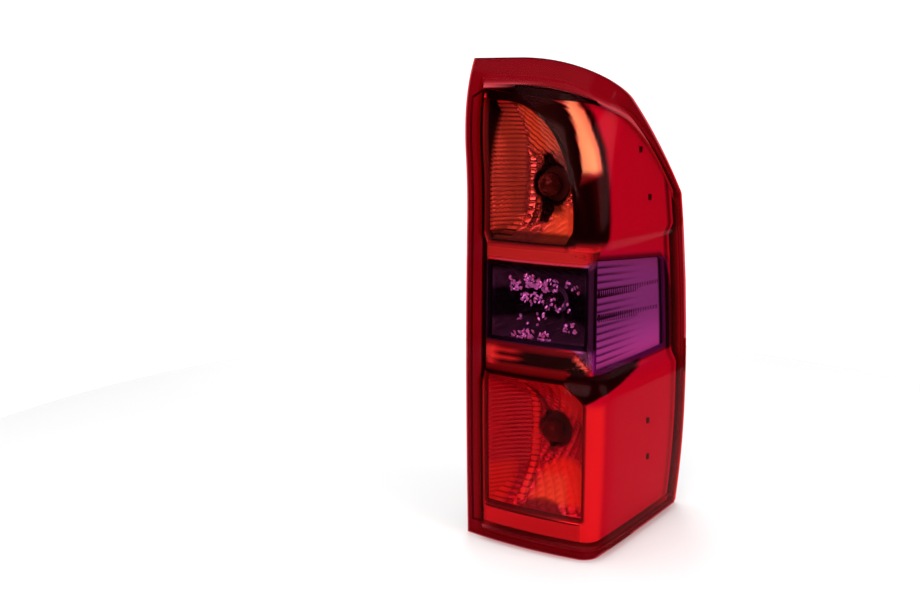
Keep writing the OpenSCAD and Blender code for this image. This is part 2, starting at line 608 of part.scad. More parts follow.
module housing() {
    color([0.10, 0.10, 0.11]) difference() {
        union() {
            translate([0, plate_y, 0]) rotate([90, 0, 0])
                linear_extrude(height = housing_t) polygon(rear_outline);
            translate([side_x - housing_t, 0, 0]) rotate([90, 0, 90])
                linear_extrude(height = housing_t) polygon(side_outline);
            intersection() {
                wall_ring(-housing_t, 0);
                crest_slice(plate_y - 1, 0);
            }
            for (z = bracket_z) bracket_pad(z);
            for (z = pin_z) pin_ear(z);
            for (v = vent_at) translate([v[0], plate_y - 1, v[1]]) rotate([-90, 0, 0])
                cylinder(d = vent_d, h = vent_h + 1);
            for (z = rib_z) translate([wall_x[0] + 1, plate_y - 1, z])
                cube([wall_x[1] - wall_x[0] - 2, rib_h + 1, rib_t]);
        }
        on_rear(upper_c) translate([0, 0, -1]) cylinder(d = holder_d + 2 * fit, h = housing_t + 2);
        on_rear(lower_c) translate([0, 0, -1]) cylinder(d = holder_d + 2 * fit, h = housing_t + 2);
        on_rear(middle_c) translate([0, 0, -1]) cylinder(d = middle_holder_d + 2 * fit, h = housing_t + 2);
        on_side(side_c) translate([0, 0, -1]) cylinder(d = side_holder_d + 2 * fit, h = housing_t + 2);
        for (z = bracket_z, x = screw_x) translate([x, pad_y - 8, z]) rotate([-90, 0, 0])
            cylinder(d = screw_d + 0.2, h = 9);
        for (z = pin_z) translate([pin_x, ear_y - 1, z]) rotate([-90, 0, 0])
            cylinder(d = stem_d + 0.2, h = ear_t + 2);
        for (v = vent_at) translate([v[0], seat_y - 1, v[1]]) rotate([-90, 0, 0])
            cylinder(d = vent_bore, h = 20);
    }
}

module seal_backing() {
    color([0.72, 0.53, 0.25]) intersection() {
        wall_ring(0, 1.2);
        crest_slice(plate_y, 0);
    }
}

module foam_seal() {
    color([0.06, 0.06, 0.06]) intersection() {
        wall_ring(-housing_t - 1.5, 1.5);
        crest_slice(0, foam_t);
    }
}

// Sheet brackets: root flange on its pad, a leg up past the foam seal, then the slotted tongue
leg_x = 15;
tongue_turn = 27;
slot_l = 14;
rib_d = 4;
function tongue_way(l) = [-l * sin(tongue_turn), l * cos(tongue_turn)];
function sheet_profile(bend_y, l) = let (t = bracket_t, fold = [leg_x, bend_y], tip = fold + tongue_way(l))
    [[leg_x, pad_y], [leg_x + t, pad_y], fold + [t, t * tan(tongue_turn / 2)],
     tip + [t * cos(tongue_turn), t * sin(tongue_turn)], tip, fold];
module across_tongue(y, h) {
    translate([0, y, 0]) rotate([90, 0, 0]) linear_extrude(height = h) children();
}
module bracket(z, bend_y) {
    l = bracket_l;
    color([0.50, 0.51, 0.52]) difference() {
        union() {
            translate([leg_x, pad_y, z - 11]) cube([26, bracket_t, 22]);
            translate([0, 0, z - bracket_w / 2])
                linear_extrude(height = bracket_w) polygon(sheet_profile(bend_y, l));
            translate([leg_x, bend_y, z]) rotate([0, 0, 90 + tongue_turn]) {
                translate([6, -bracket_t / 2, 0]) rotate([0, 90, 0]) cylinder(d = rib_d, h = l - slot_l - 16);
                translate([l - slot_l - 10.5, -bracket_t / 2, 0]) rotate([0, 90, 0])
                    cylinder(d1 = rib_d + 0.2, d2 = 2, h = 4);
            }
        }
        translate([leg_x, bend_y, z]) rotate([0, 0, 90 + tongue_turn]) {
            across_tongue(5, 10) translate([l - slot_l, 0]) circle(d = slot_w);
            across_tongue(5, 10) translate([l - slot_l, -slot_w / 2]) square([slot_l + 2, slot_w]);
            for (side = [-1, 1]) across_tongue(5, 10)
                polygon([[l * 0.35, side * (bracket_w / 2 + 0.01)], [l - 4, side * (bracket_w / 4 + 2)],
                         [l + 1, side * bracket_w / 4], [l + 1, side * (bracket_w / 2 + 2)],
                         [l * 0.35, side * (bracket_w / 2 + 2)]]);
        }
        for (x = screw_x) translate([x, pad_y - 1, z]) rotate([-90, 0, 0]) cylinder(d = screw_d + 0.6, h = 4);
    }
}
module lower_bracket() {
    bracket(bracket_z[0], seal_depth + foam_t + 2);
}
module upper_bracket() {
    bracket(bracket_z[1], lerp(plate_y, seal_depth, 0.3) + foam_t + 3);
}

module bracket_screws() {
    color([0.75, 0.75, 0.70])
        for (z = bracket_z, x = screw_x) translate([x, pad_y, z]) rotate([-90, 0, 0]) difference() {
            union() {
                translate([0, 0, -7]) cylinder(d = screw_d, h = 8 + bracket_t);
                translate([0, 0, bracket_t]) cylinder(d = 8, h = 3);
            }
            translate([0, 0, bracket_t + 1.2]) cylinder(d = 4, h = 4, $fn = 6);
        }
}

module locating_pins() {
    color([0.70, 0.71, 0.72])
        for (z = pin_z) translate([pin_x, ear_y + ear_t, z]) rotate([-90, 0, 0]) {
            translate([0, 0, -ear_t]) cylinder(d = stem_d, h = ear_t + 1);
            cylinder(d = pin_d * 1.5, h = 2);
            cylinder(d = pin_d, h = pin_l - pin_d / 2);
            translate([0, 0, pin_l - pin_d / 2]) cylinder(d1 = pin_d, d2 = pin_d / 2, h = pin_d / 2);
        }
}

// Leads: round tubes along a smooth line through chosen points
lead_d = 5;
lead_sides = 8;
lead_steps = 4;
grip_y = seat_y + housing_t + seal_t + flange_t + holder_grip;
grip_x = side_x - housing_t - seal_t - flange_t - holder_grip;
lay_y = plate_y + rib_h + lead_d / 2;
connector_w = 34;
connector_x = [lower_c[0] - 43, lower_c[0] - 43 + connector_w];
connector_z = [40, 60];
connector_h = 22;
function lane(k) = connector_x[0] + 6 + 7 * k;
function curve(p, t) = let (n = len(p) - 1, k = min(n - 1, floor(t)), u = t - k,
    a = p[max(0, k - 1)], b = p[k], c = p[k + 1], d = p[min(n, k + 2)])
    0.5 * (2 * b + (c - a) * u + (2 * a - 5 * b + 4 * c - d) * u * u + (3 * b - a - 3 * c + d) * u * u * u);
module lead(p) {
    n = (len(p) - 1) * lead_steps;
    path = [for (k = [0 : n]) curve(p, k / lead_steps)];
    function along(k) = k == 0 ? [p[1][0] - p[0][0], p[1][1] - p[0][1], p[1][2] - p[0][2]]
        : k == n ? [0, 0, -1] : path[k + 1] - path[k - 1];
    function frame(k) =
        let (t = along(k) / norm(along(k)), v = cross(t, [0.83, 0.1, 0.3]), w = v / norm(v)) [w, cross(t, w)];
    points = [for (k = [0 : n]) let (f = frame(k)) for (a = [0 : lead_sides - 1])
        path[k] + lead_d / 2 * (f[0] * cos(a * 360 / lead_sides) + f[1] * sin(a * 360 / lead_sides))];
    faces = concat([[for (a = [0 : lead_sides - 1]) a]],
        [[for (a = [lead_sides - 1 : -1 : 0]) n * lead_sides + a]],
        [for (k = [0 : n - 1], a = [0 : lead_sides - 1]) let (b = (a + 1) % lead_sides, s = k * lead_sides)
            each quad(s + a, s + lead_sides + a, s + lead_sides + b, s + b)]);
    polyhedron(points = points, faces = faces, convexity = 8);
}
function from_grip(c) = [[c[0], grip_y, c[1]], [c[0], grip_y + 5, c[1]], [c[0] - 3, grip_y + 8, c[1] - 8]];
function down_lane(k, x, top) = concat([for (z = top) [x, lay_y, z]],
    [[x, lay_y, rib_z[0] + rib_t / 2], [x, lay_y, low_z0 + 57], [lane(k), lay_y, low_z0 + 33],
     [lane(k), lay_y, connector_z[1]]]);
module harness() {
    color([0.05, 0.05, 0.05]) {
        lead(concat(from_grip(upper_c),
                    [[upper_c[0] - 15, grip_y + 5, upper_c[1] - 27], [lane(0) + 4, lay_y, rib_z[2] + 2]],
                    down_lane(0, lane(0) + 2, [mid_z + 30, rib_z[1] + 2])));
        lead(concat(from_grip(middle_c),
                    [[middle_c[0] - 12, grip_y + 5, middle_c[1] - 26], [lane(1) + 3, lay_y, rib_z[1] + 3]],
                    down_lane(1, lane(1) + 1, [rib_z[0] + 30])));
        lead(concat([[grip_x, side_c[0], side_c[1]], [grip_x - 5, side_c[0], side_c[1]],
                     [grip_x - 11, side_c[0] - 2, side_c[1] - 8], [grip_x - 18, side_c[0] - 7, side_c[1] - 24],
                     [lane(2) + 4, lay_y + 7.5, rib_z[1] + 9], [lane(2) + 1, lay_y, rib_z[1] - 1]],
                    down_lane(2, lane(2), [rib_z[0] + 30])));
        lead(concat(from_grip(lower_c),
                    [[lower_c[0] - 8, grip_y + 4, lower_c[1] - 25], [lane(3) + 1, lay_y + 4.5, lower_c[1] - 39],
                     [lane(3), lay_y, connector_z[1] + 14], [lane(3), lay_y, connector_z[1]]]));
    }
}

module connector() {
    w = connector_x[1] - connector_x[0];
    h = connector_z[1] - connector_z[0];
    color([0.16, 0.16, 0.17]) translate([connector_x[0], plate_y, connector_z[0]]) difference() {
        union() {
            cube([w, connector_h, h]);
            translate([w / 2 - 5, connector_h - 8, -2]) cube([10, 6, 3]);
        }
        translate([2, 8, 2]) cube([w - 4, connector_h, h - 4]);
    }
    color([0.70, 0.62, 0.35]) for (k = [0 : 4])
        translate([connector_x[0] + 6 + k * (w - 13.6) / 4, plate_y + 7, connector_z[0] + h / 2 - 0.4])
            cube([1.6, 11, 0.8]);
}

module vent_caps() {
    color([0.14, 0.14, 0.15])
        for (v = vent_at) translate([v[0], plate_y + 3, v[1]]) rotate([-90, 0, 0]) difference() {
            cylinder(d = vent_d + 4, h = vent_h);
            translate([0, 0, -1]) cylinder(d = vent_d + 0.2, h = vent_h - 1);
        }
}

lens_red();
lens_middle();
trim_frame();
side_fluting();
upper_reflector();
middle_reflector();
lower_reflector();
side_reflector();
upper_bulb();
middle_bulb();
lower_bulb();
side_bulb();
upper_holder();
middle_holder();
lower_holder();
side_holder();
holder_seals();
housing();
seal_backing();
foam_seal();
upper_bracket();
lower_bracket();
bracket_screws();
locating_pins();
harness();
connector();
vent_caps();
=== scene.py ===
# %% [markdown]
# A tall wrap-around rear lamp in Blender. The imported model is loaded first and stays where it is.
# Each step then dresses one piece of it: the clear red lens, the bright parts behind it, and the housing,
# seal and brackets at the back. Every piece is worked out in millimetres and made in metres.

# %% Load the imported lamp
import math
import bpy
import numpy as np
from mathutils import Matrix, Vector


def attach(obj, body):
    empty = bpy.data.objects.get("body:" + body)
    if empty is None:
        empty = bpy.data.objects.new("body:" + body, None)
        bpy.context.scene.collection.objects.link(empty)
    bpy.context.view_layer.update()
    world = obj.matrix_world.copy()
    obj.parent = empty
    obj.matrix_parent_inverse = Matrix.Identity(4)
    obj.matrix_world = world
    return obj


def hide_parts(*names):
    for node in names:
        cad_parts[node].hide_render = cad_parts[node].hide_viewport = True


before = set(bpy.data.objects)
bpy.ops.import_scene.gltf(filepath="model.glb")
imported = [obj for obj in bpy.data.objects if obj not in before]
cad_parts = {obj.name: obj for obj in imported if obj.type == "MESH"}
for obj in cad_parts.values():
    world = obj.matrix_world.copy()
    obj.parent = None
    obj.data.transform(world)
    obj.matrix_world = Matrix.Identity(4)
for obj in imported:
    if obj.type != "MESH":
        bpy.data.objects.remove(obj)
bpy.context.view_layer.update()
MM = 0.001

# %% [markdown]
# The camera comes next, because the photograph was taken from a known place: above the lamp, off its outer
# corner, looking down by about thirteen degrees. Its place and lens were fitted to the outline of the lamp.

# %% Camera
CAMERA_AT = (0.6261, -0.7865, 0.4791)
LOOK_FLAT = (-0.6293, 0.7771)
LOOK_DOWN = math.radians(12.8166)
camera = bpy.data.objects.new("camera", bpy.data.cameras.new("camera"))
camera.data.lens = 39.13
camera.data.sensor_width = 36
camera.data.clip_start = 0.01
camera.location = CAMERA_AT
look = Vector((LOOK_FLAT[0] * math.cos(LOOK_DOWN), LOOK_FLAT[1] * math.cos(LOOK_DOWN), -math.sin(LOOK_DOWN)))
camera.rotation_euler = look.to_track_quat("-Z", "Y").to_euler()
bpy.context.scene.collection.objects.link(camera)
bpy.context.scene.camera = camera
bpy.context.scene.view_settings.view_transform = "Standard"
print("camera", round(Vector(CAMERA_AT).length, 2), "m from the foot of the lamp")

# %% [markdown]
# Shader maths reads best as plain expressions, so one small class wraps a socket and turns + - * and ** into
# Math nodes. Its method `node` makes any other node from a type, settings and inputs. Short functions give a
# new material, a noise, a blend of two colours and a mesh attribute.

# %% Shader helper
class Value:
    def __init__(self, tree, socket):
        self.tree = tree
        self.socket = socket

    def node(self, kind, settings=None, **inputs):
        made = self.tree.nodes.new(kind)
        for name, setting in (settings or {}).items():
            setattr(made, name, setting)
        for name, source in inputs.items():
            key = int(name[1:]) if name[0] == "i" and name[1:].isdigit() else name.replace("_", " ")
            self.feed(made.inputs[key], source)
        return made

    def feed(self, target, source):
        if isinstance(source, Value):
            self.tree.links.new(source.socket, target)
        elif hasattr(source, "is_output"):
            self.tree.links.new(source, target)
        else:
            target.default_value = source

    def math(self, operation, *others):
        made = self.node("ShaderNodeMath", {"operation": operation})
        for slot, source in enumerate((self,) + others):
            self.feed(made.inputs[slot], source)
        return Value(self.tree, made.outputs[0])

    def __add__(self, other):
        return self.math("ADD", other)

    __radd__ = __add__

    def __mul__(self, other):
        return self.math("MULTIPLY", other)

    __rmul__ = __mul__

    def __sub__(self, other):
        return self.math("SUBTRACT", other)

    def __rsub__(self, other):
        return (self * -1.0) + other

    def __pow__(self, other):
        return self.math("POWER", other)


def new_material(name):
    made = bpy.data.materials.new(name)
    made.use_nodes = True
    tree = made.node_tree
    tree.nodes.clear()
    out = tree.nodes.new("ShaderNodeOutputMaterial")
    return made, Value(tree, None), out


def noise(v, scale):
    """Soft noise by each point's place on its own piece."""
    coords = v.node("ShaderNodeTexCoord").outputs["Object"]
    made = v.node("ShaderNodeTexNoise", i0=coords, Scale=scale, Detail=3.0, Roughness=0.55)
    return Value(v.tree, made.outputs[0])


def blend(v, mask, low, high):
    made = v.node("ShaderNodeMix", {"data_type": "RGBA"})
    v.feed(made.inputs[0], mask)
    v.feed(made.inputs[6], low)
    v.feed(made.inputs[7], high)
    return made.outputs[2]


def rgba(r, g, b):
    return (r, g, b, 1.0)


def attribute(v, name):
    return Value(v.tree, v.node("ShaderNodeAttribute", {"attribute_name": name}).outputs["Fac"])


print("shader helper: + - * **")

# %% [markdown]
# The lens follows one rule from top to bottom. At each height it is a bowed rear line, a round corner and
# a straight side, and a point on it is named by its distance along that line, its height, and how far it
# stands off the surface. Everything behind the lens is placed by the same rule.

# %% Lens profile
LENS_H, LENS_W, LENS_D = 500.0, 142.0, 212.0
CORNER_R, CORNER_GROWTH, REAR_BOW, SIDE_SWELL = 14.0, 58.0, 23.0, 6.0
CROWN_R, HORN_REACH, FRONT_RISE = 150.0, 17.4, 60.0
LOW_Z0, LOW_BAND, UP_BAND, UP_DROP, LOW_SHARE, MID_SHARE = 43.0, 39.0, 23.0, 41.0, 0.3927, 0.2232
WINDOWS_H = LENS_H - LOW_Z0 - LOW_BAND - UP_BAND - UP_DROP
LOW_Z1 = LOW_Z0 + LOW_SHARE * WINDOWS_H
MID_Z0 = LOW_Z1 + LOW_BAND
MID_Z1 = MID_Z0 + MID_SHARE * WINDOWS_H
UP_Z0, UP_Z1 = MID_Z1 + UP_BAND, LENS_H - UP_DROP
MID_Z = (MID_Z0 + MID_Z1) / 2
ROOF_DROP = LENS_H - MID_Z1 - FRONT_RISE
BOW = REAR_BOW / LENS_W ** 2
WIDEST_Z, TOP_NARROWING = 125.0, 0.43
HORN_DROP, CURL_H, LEAN, LEAN_H = 160.0, 92.0, 3.5, 430.0
FRONT_Z, FRONT_R = 80.0, 5000.0
CORNER_OPENS, CORNER_FULL = 170.0, 123.0
SIDE_BEND_Y, SIDE_BEND = 60.0, 0.00015
ROOF_START, ROOF_POWER = 0.2, 2.5
print("windows from", round(LOW_Z0, 1), "to", round(UP_Z1, 1), "mm, middle at", round(MID_Z, 1), "mm")


# %% Lines of the lens at a height
def side_at(z):
    narrowing = np.where(z < WIDEST_Z, 1.0, TOP_NARROWING)
    return LENS_W + SIDE_SWELL * (1 - ((z - WIDEST_Z) / WIDEST_Z) ** 2 * narrowing)


def inner_x(z):
    return -HORN_REACH * (np.maximum(0, z - LENS_H + HORN_DROP) / HORN_DROP) ** 2


def inner_y(z):
    d = np.maximum(0, z - LENS_H + CURL_H)
    return CROWN_R - np.sqrt(CROWN_R ** 2 - d ** 2) - LEAN * np.sin(np.pi * np.clip(z / LEAN_H, 0, 1))


def front_y(z):
    return LENS_D - (z - FRONT_Z) ** 2 / FRONT_R


def corner_at(z):
    return CORNER_R + CORNER_GROWTH * (np.maximum(0, z - LENS_H + CORNER_OPENS) / CORNER_FULL) ** 1.5


def turn_in(z):
    return np.arctan(2 * BOW * (side_at(z) - corner_at(z)))


def arc_r(z):
    return corner_at(z) / (1 - np.sin(turn_in(z)))


def rear_len(z):
    return side_at(z) - corner_at(z) - inner_x(z)


def arc_len(z):
    return arc_r(z) * (np.pi / 2 - turn_in(z))


def side_start(z):
    return inner_y(z) + BOW * (side_at(z) - corner_at(z)) ** 2 + arc_r(z) * np.cos(turn_in(z))


def run(z):
    return rear_len(z) + arc_len(z) + front_y(z) - side_start(z)


print("lens", round(float(side_at(WIDEST_Z)), 1), "mm wide at its widest height")


# %% Points on the lens
def skin(s, z, h):
    """Points at arc length s and height z, moved outwards by h, in millimetres."""
    s, z, h = np.broadcast_arrays(np.asarray(s, float), np.asarray(z, float), np.asarray(h, float))
    la, lb = rear_len(z), arc_len(z)
    x = inner_x(z) + s
    a = np.arctan(2 * BOW * np.abs(x))
    rear = np.stack([x + h * np.sin(a), inner_y(z) + BOW * x * np.abs(x) - h * np.cos(a), z], -1)
    r, t = arc_r(z), turn_in(z)
    b = t + (s - la) / r
    arc = np.stack([side_at(z) - corner_at(z) + r * (np.sin(b) - np.sin(t)) + h * np.sin(b),
                    side_start(z) - (r + h) * np.cos(b), z], -1)
    y = side_start(z) + s - la - lb
    side = np.stack([side_at(z) - np.maximum(0, y - SIDE_BEND_Y) ** 2 * SIDE_BEND + h, y, z], -1)
    return np.where((s < la)[..., None], rear, np.where((s < la + lb)[..., None], arc, side))


def roof_at(c):
    return LENS_H - ROOF_DROP * (np.maximum(0, c - ROOF_START) / (1 - ROOF_START)) ** ROOF_POWER


def roof(a, b):
    """Height of the top edge where the line a + b * run(z) meets it."""
    z = np.full(np.shape(a), LENS_H) if np.shape(a) else LENS_H
    for _ in range(4):
        z = roof_at(np.clip(a / run(np.minimum(z, LENS_H - 0.1)) + b, 0, 1))
    return z


def smooth(a, b, t):
    """A soft step of t: 0 at a, 1 at b. With a above b it steps down."""
    u = np.clip((t - a) / (b - a), 0, 1)
    return u * u * (3 - 2 * u)


def span(t, a, b, c, d):
    """Two soft steps of one value, such as up from a to b and down from c to d."""
    return smooth(a, b, t) * smooth(c, d, t)


print("rear and side run at mid height:", round(float(run(np.array(MID_Z))), 1), "mm")

# %% [markdown]
# A moulding is a skin with a thickness. It is laid out as a grid of outer points and a grid of inner points;
# cells that are used get two faces, and the open edges between them are closed with a wall, so that the piece
# is one closed shell. The lens has a third grid, for the skirt that runs back from it.

# %% Meshes from grids
def add_mesh(name, points, faces, material, sharp=35):
    mesh = bpy.data.meshes.new(name)
    mesh.from_pydata((np.asarray(points) * MM).tolist(), [], [list(f) for f in faces])
    mesh.validate()
    mesh.shade_smooth()
    mesh.set_sharp_from_angle(angle=math.radians(sharp))
    obj = bpy.data.objects.new(name, mesh)
    bpy.context.scene.collection.objects.link(obj)
    mesh.materials.append(material)
    return obj


def shell(outer, inner, used, ring=None, skirt=None):
    """A closed shell from a grid. Cells in ring run back to the skirt's points."""
    ni, nj = outer.shape[:2]
    n = ni * nj
    ring = np.zeros_like(used) if ring is None else ring
    points = [outer.reshape(-1, 3), inner.reshape(-1, 3)]
    points += [skirt.reshape(-1, 3)] if skirt is not None else []
    faces = []
    for i, j in zip(*np.nonzero(used)):
        p = i * nj + j
        back = (2 * n if ring[i, j] else n) + p
        faces.append((p, p + nj, p + nj + 1, p + 1))
        faces.append((back, back + 1, back + nj + 1, back + nj))
        for ai, aj, bi, bj, oi, oj in ((i, j, i + 1, j, i, j - 1), (i + 1, j, i + 1, j + 1, i + 1, j),
                                       (i + 1, j + 1, i, j + 1, i, j + 1), (i, j + 1, i, j, i - 1, j)):
            a, b = ai * nj + aj, bi * nj + bj
            kept = 0 <= oi < ni - 1 and 0 <= oj < nj - 1 and used[oi, oj]
            if not kept:
                faces.append((a, n + a, n + b, b))
            if ring[i, j] and not (kept and ring[oi, oj]):
                faces.append((n + a, 2 * n + a, 2 * n + b, n + b))
    return np.concatenate(points), faces


def sheet(name, s, z, front, back, material, sharp=35):
    """A closed sheet over the whole grid, between two distances from the lens."""
    outer, inner = skin(s, z, front), skin(s, z, back)
    cells = np.ones((outer.shape[0] - 1, outer.shape[1] - 1), bool)
    return add_mesh(name, *shell(outer, inner, cells), material, sharp)


def set_layer(obj, name, values):
    """Store one number for each point of a mesh, for its material to read."""
    layer = obj.data.attributes.new(name, "FLOAT", "POINT")
    layer.data.foreach_set("value", np.asarray(values, np.float32).ravel())


def set_zones(obj, **zones):
    """The same numbers on both skins of a shell."""
    for name, values in zones.items():
        set_layer(obj, name, np.tile(values.ravel(), 2))


print("grid helpers: shell, sheet, layers")

# %% [markdown]
# Clear lamp plastic is mostly a colour filter: light goes through it twice on its way in and out. A tinted
# Transparent shader does exactly that and lets the lights reach the reflectors, and a mix that grows towards
# grazing angles lays the hard gloss of moulded acrylic on top. Behind the flange the same moulding is dark and
# solid, so an attribute called backed turns the filter into maroon plastic there, and one called skirt darkens
# it further. The attribute pale lightens the filter over the painted highlights, a painted highlight too.

# %% Lens materials
GLOSS_AHEAD, GLOSS_ASKANCE = 0.002, 0.10


def clear_plastic(name, tint, highlight_tint, solid, hidden):
    """Filter tint, its lighter tint for painted highlights, colour of the backed part and colour of the skirt.
    """
    made, v, out = new_material(name)
    full = v.node("ShaderNodeBsdfTransparent", Color=rgba(*tint))
    # A lighter filter where the attribute pale says, as painted highlight over the bright zones behind the
    # lens.
    pale_filter = v.node("ShaderNodeBsdfTransparent", Color=rgba(*highlight_tint))
    filter_ = v.node("ShaderNodeMixShader", i0=attribute(v, "pale"), i1=full.outputs[0], i2=pale_filter.outputs[0])
    gloss = v.node("ShaderNodeBsdfGlossy", Color=rgba(1, 1, 1), Roughness=0.03)
    facing = Value(v.tree, v.node("ShaderNodeLayerWeight", Blend=0.5).outputs["Facing"])
    share = facing ** 5 * GLOSS_ASKANCE + GLOSS_AHEAD
    clear = v.node("ShaderNodeMixShader", i0=share, i1=filter_.outputs[0], i2=gloss.outputs[0])
    cloud = noise(v, 9.0)
    deep = rgba(*[c * 0.55 for c in solid])
    back = v.node("ShaderNodeBsdfPrincipled", Roughness=0.6, Specular_IOR_Level=0.0)
    flange = blend(v, cloud, deep, rgba(*solid))
    v.feed(back.inputs["Base Color"], blend(v, attribute(v, "skirt"), flange, rgba(*hidden)))
    mix = v.node("ShaderNodeMixShader", i0=attribute(v, "backed"), i1=clear.outputs[0], i2=back.outputs[0])
    v.feed(out.inputs[0], mix.outputs[0])
    return made


red_plastic = clear_plastic("red_plastic", (0.92, 0.30, 0.34), (0.97, 0.76, 0.66), (0.27, 0.012, 0.045),
                            (0.07, 0.01, 0.015))
violet_plastic = clear_plastic("violet_plastic", (0.80, 0.47, 0.70), (0.85, 0.60, 0.80), (0.10, 0.01, 0.09),
                               (0.05, 0.01, 0.04))
plate_clear = clear_plastic("plate_clear", (0.97, 0.97, 0.97), (0.97, 0.97, 0.97), (0.3, 0.3, 0.3),
                            (0.3, 0.3, 0.3))
print("clear plastics:", red_plastic.name, violet_plastic.name, plate_clear.name)

# %% [markdown]
# The other finishes are few. Metal and plastic get a fine noise in their roughness, and a bump where the real
# one has a grain. The bright parts of a lamp are plastic under a thin coat of metal. Some areas are matt,
# others carry painted shade, painted dark reflections and painted highlights, so one function makes chrome that
# changes by three attributes of the mesh.


# %% Metal and plastic
def roughened(v, base, out, grain, distance, height):
    if grain:
        bump = v.node("ShaderNodeBump", Strength=grain, Distance=distance, Height=height)
        v.feed(base.inputs["Normal"], bump.outputs[0])
    v.feed(out.inputs[0], base.outputs[0])


def metal(name, color, roughness, grain=0.0, grain_scale=400.0):
    made, v, out = new_material(name)
    base = v.node("ShaderNodeBsdfPrincipled", Metallic=1.0, Base_Color=rgba(*color))
    wear = noise(v, grain_scale)
    v.feed(base.inputs["Roughness"], wear * (roughness * 0.5) + roughness * 0.75)
    roughened(v, base, out, grain, 0.0002, wear)
    return made


def plastic(name, color, roughness, grain=0.25, grain_scale=900.0):
    made, v, out = new_material(name)
    base = v.node("ShaderNodeBsdfPrincipled")
    fine = noise(v, grain_scale)
    dark, light = (rgba(*[c * share for c in color]) for share in (0.75, 1.25))
    v.feed(base.inputs["Base Color"], blend(v, noise(v, 12.0), dark, light))
    v.feed(base.inputs["Roughness"], fine * 0.2 + (roughness - 0.1))
    roughened(v, base, out, grain, 0.0003, fine)
    return made


print("metal and plastic ready")


# %% Chrome in zones
def zoned_chrome(name, bright, panel, highlight_colour):
    """Chrome that turns satin where the attribute satin says, with painted shade in black and painted
    highlights in a warm colour where the attributes shade and glow say.
    """
    made, v, out = new_material(name)
    satin, shade, glow = (attribute(v, layer) for layer in ("satin", "shade", "glow"))
    base = v.node("ShaderNodeBsdfPrincipled", Specular_IOR_Level=0.1)
    finish = blend(v, satin, rgba(*bright), rgba(*panel))
    # Painted highlight: the warm colour where glow says.
    finish = blend(v, glow, finish, rgba(*highlight_colour))
    # Painted shade and painted dark reflections: black where shade says.
    v.feed(base.inputs["Base Color"], blend(v, shade, finish, rgba(0.004, 0.002, 0.003)))
    v.feed(base.inputs["Metallic"], (1 - satin * 0.85) * (1 - shade * 0.9) * (1 - glow * 0.9))
    v.feed(base.inputs["Roughness"], satin * 0.40 + shade * 0.2 + glow * 0.3 + 0.10)
    v.feed(out.inputs[0], base.outputs[0])
    return made


# The last colour of each chrome is its painted highlight colour.
trim_metal = zoned_chrome("bright_trim", (0.60, 0.45, 0.50), (0.60, 0.08, 0.72), (1.0, 0.85, 0.60))
bowl_metal = zoned_chrome("bowl_chrome", (0.62, 0.50, 0.50), (0.60, 0.40, 0.40), (1.0, 0.80, 0.30))
lower_metal = zoned_chrome("lower_bowl_chrome", (0.55, 0.28, 0.42), (0.50, 0.10, 0.40), (1.0, 0.80, 0.30))
flute_satin = zoned_chrome("flute_satin", (0.75, 0.60, 0.70), (0.46, 0.42, 0.52), (0.85, 0.65, 0.85))
print("zoned chromes: trim, two bowls, ribbed panel")

# %% Plain finishes
prism_chrome = metal("prism_chrome", (0.97, 0.85, 0.93), 0.30)
# Dark glass: on the bulbs it is painted shade, so that the bulb holes read dark; on the ticks and tabs it is
# the colour of small dark marks.
dark_glass = plastic("dark_bulb_glass", (0.030, 0.012, 0.012), 0.25, grain=0.1)
chrome_soft = metal("chrome_soft", (0.88, 0.88, 0.90), 0.12)
steel = metal("zinc_sheet", (0.50, 0.51, 0.53), 0.42, grain=0.3, grain_scale=260.0)
black_plastic = plastic("black_plastic", (0.035, 0.035, 0.038), 0.5)
grey_plastic = plastic("grey_plastic", (0.16, 0.16, 0.17), 0.5)
tan_plastic = plastic("tan_plastic", (0.52, 0.34, 0.13), 0.45)
foam = plastic("foam", (0.02, 0.02, 0.02), 0.9, grain=0.8, grain_scale=500.0)
ring_rubber = plastic("ring_rubber", (0.40, 0.13, 0.05), 0.6)
print("materials so far:", len(bpy.data.materials))

# %% [markdown]
# The lens is one moulding. Its flange lies along all four edges, its face stands eight millimetres proud of
# that flange, and a waist is set back in the middle. The skirt behind it is part of the same piece. A grid that
# is dense at the steps and coarse between them gives crisp edges with few faces.

# %% Sizes of the flange and the face
FLANGE_W, FLANGE_BASE, FLANGE_TOP, FACE_RISE, WAIST_DROP = 17.0, 9.0, 20.0, 8.0, 6.0
LENS_T, SKIRT_T, SKIRT_DEPTH, SKIRT_INSET, STEP_W = 3.0, 3.0, 55.0, 3.5, 3.0
WINDOW_S0, WINDOW_END = 24.0, 40.0
SIDE_Z0, SIDE_Z1 = MID_Z0 - 23, MID_Z1 + 12
WAIST_Z0, WAIST_Z1, SHOULDER = SIDE_Z0 - 7, SIDE_Z1 + 4, 16.0
SIDE_FLANGE = 15.0
RUN_MID = float(run(np.array(MID_Z)))
FLARE_S, POST_S = LENS_W - 26, LENS_W + 4
REAR_END, CORNER_END, FOOT_Z = 108.0, 148.0, 14.5
BODY_DROP, BODY_CUT, BODY_SLOPE = 6, 38, 0.6
SIDE_X, SEAT_TURN, SEAT_END = LENS_W - 30, 136, LENS_D - 20


def mid_low(s):
    return MID_Z0 + (SIDE_Z0 - MID_Z0) * smooth(FLARE_S, POST_S, s)


def mid_high(s):
    """Top of the middle window. It falls along the side and is rounded off at its end."""
    return (MID_Z1 + (SIDE_Z1 - MID_Z1) * smooth(FLARE_S, POST_S, s) - np.maximum(0, s - POST_S) * 0.1
            - 0.05 * np.maximum(0, s - RUN_MID + WINDOW_END + 12) ** 2)


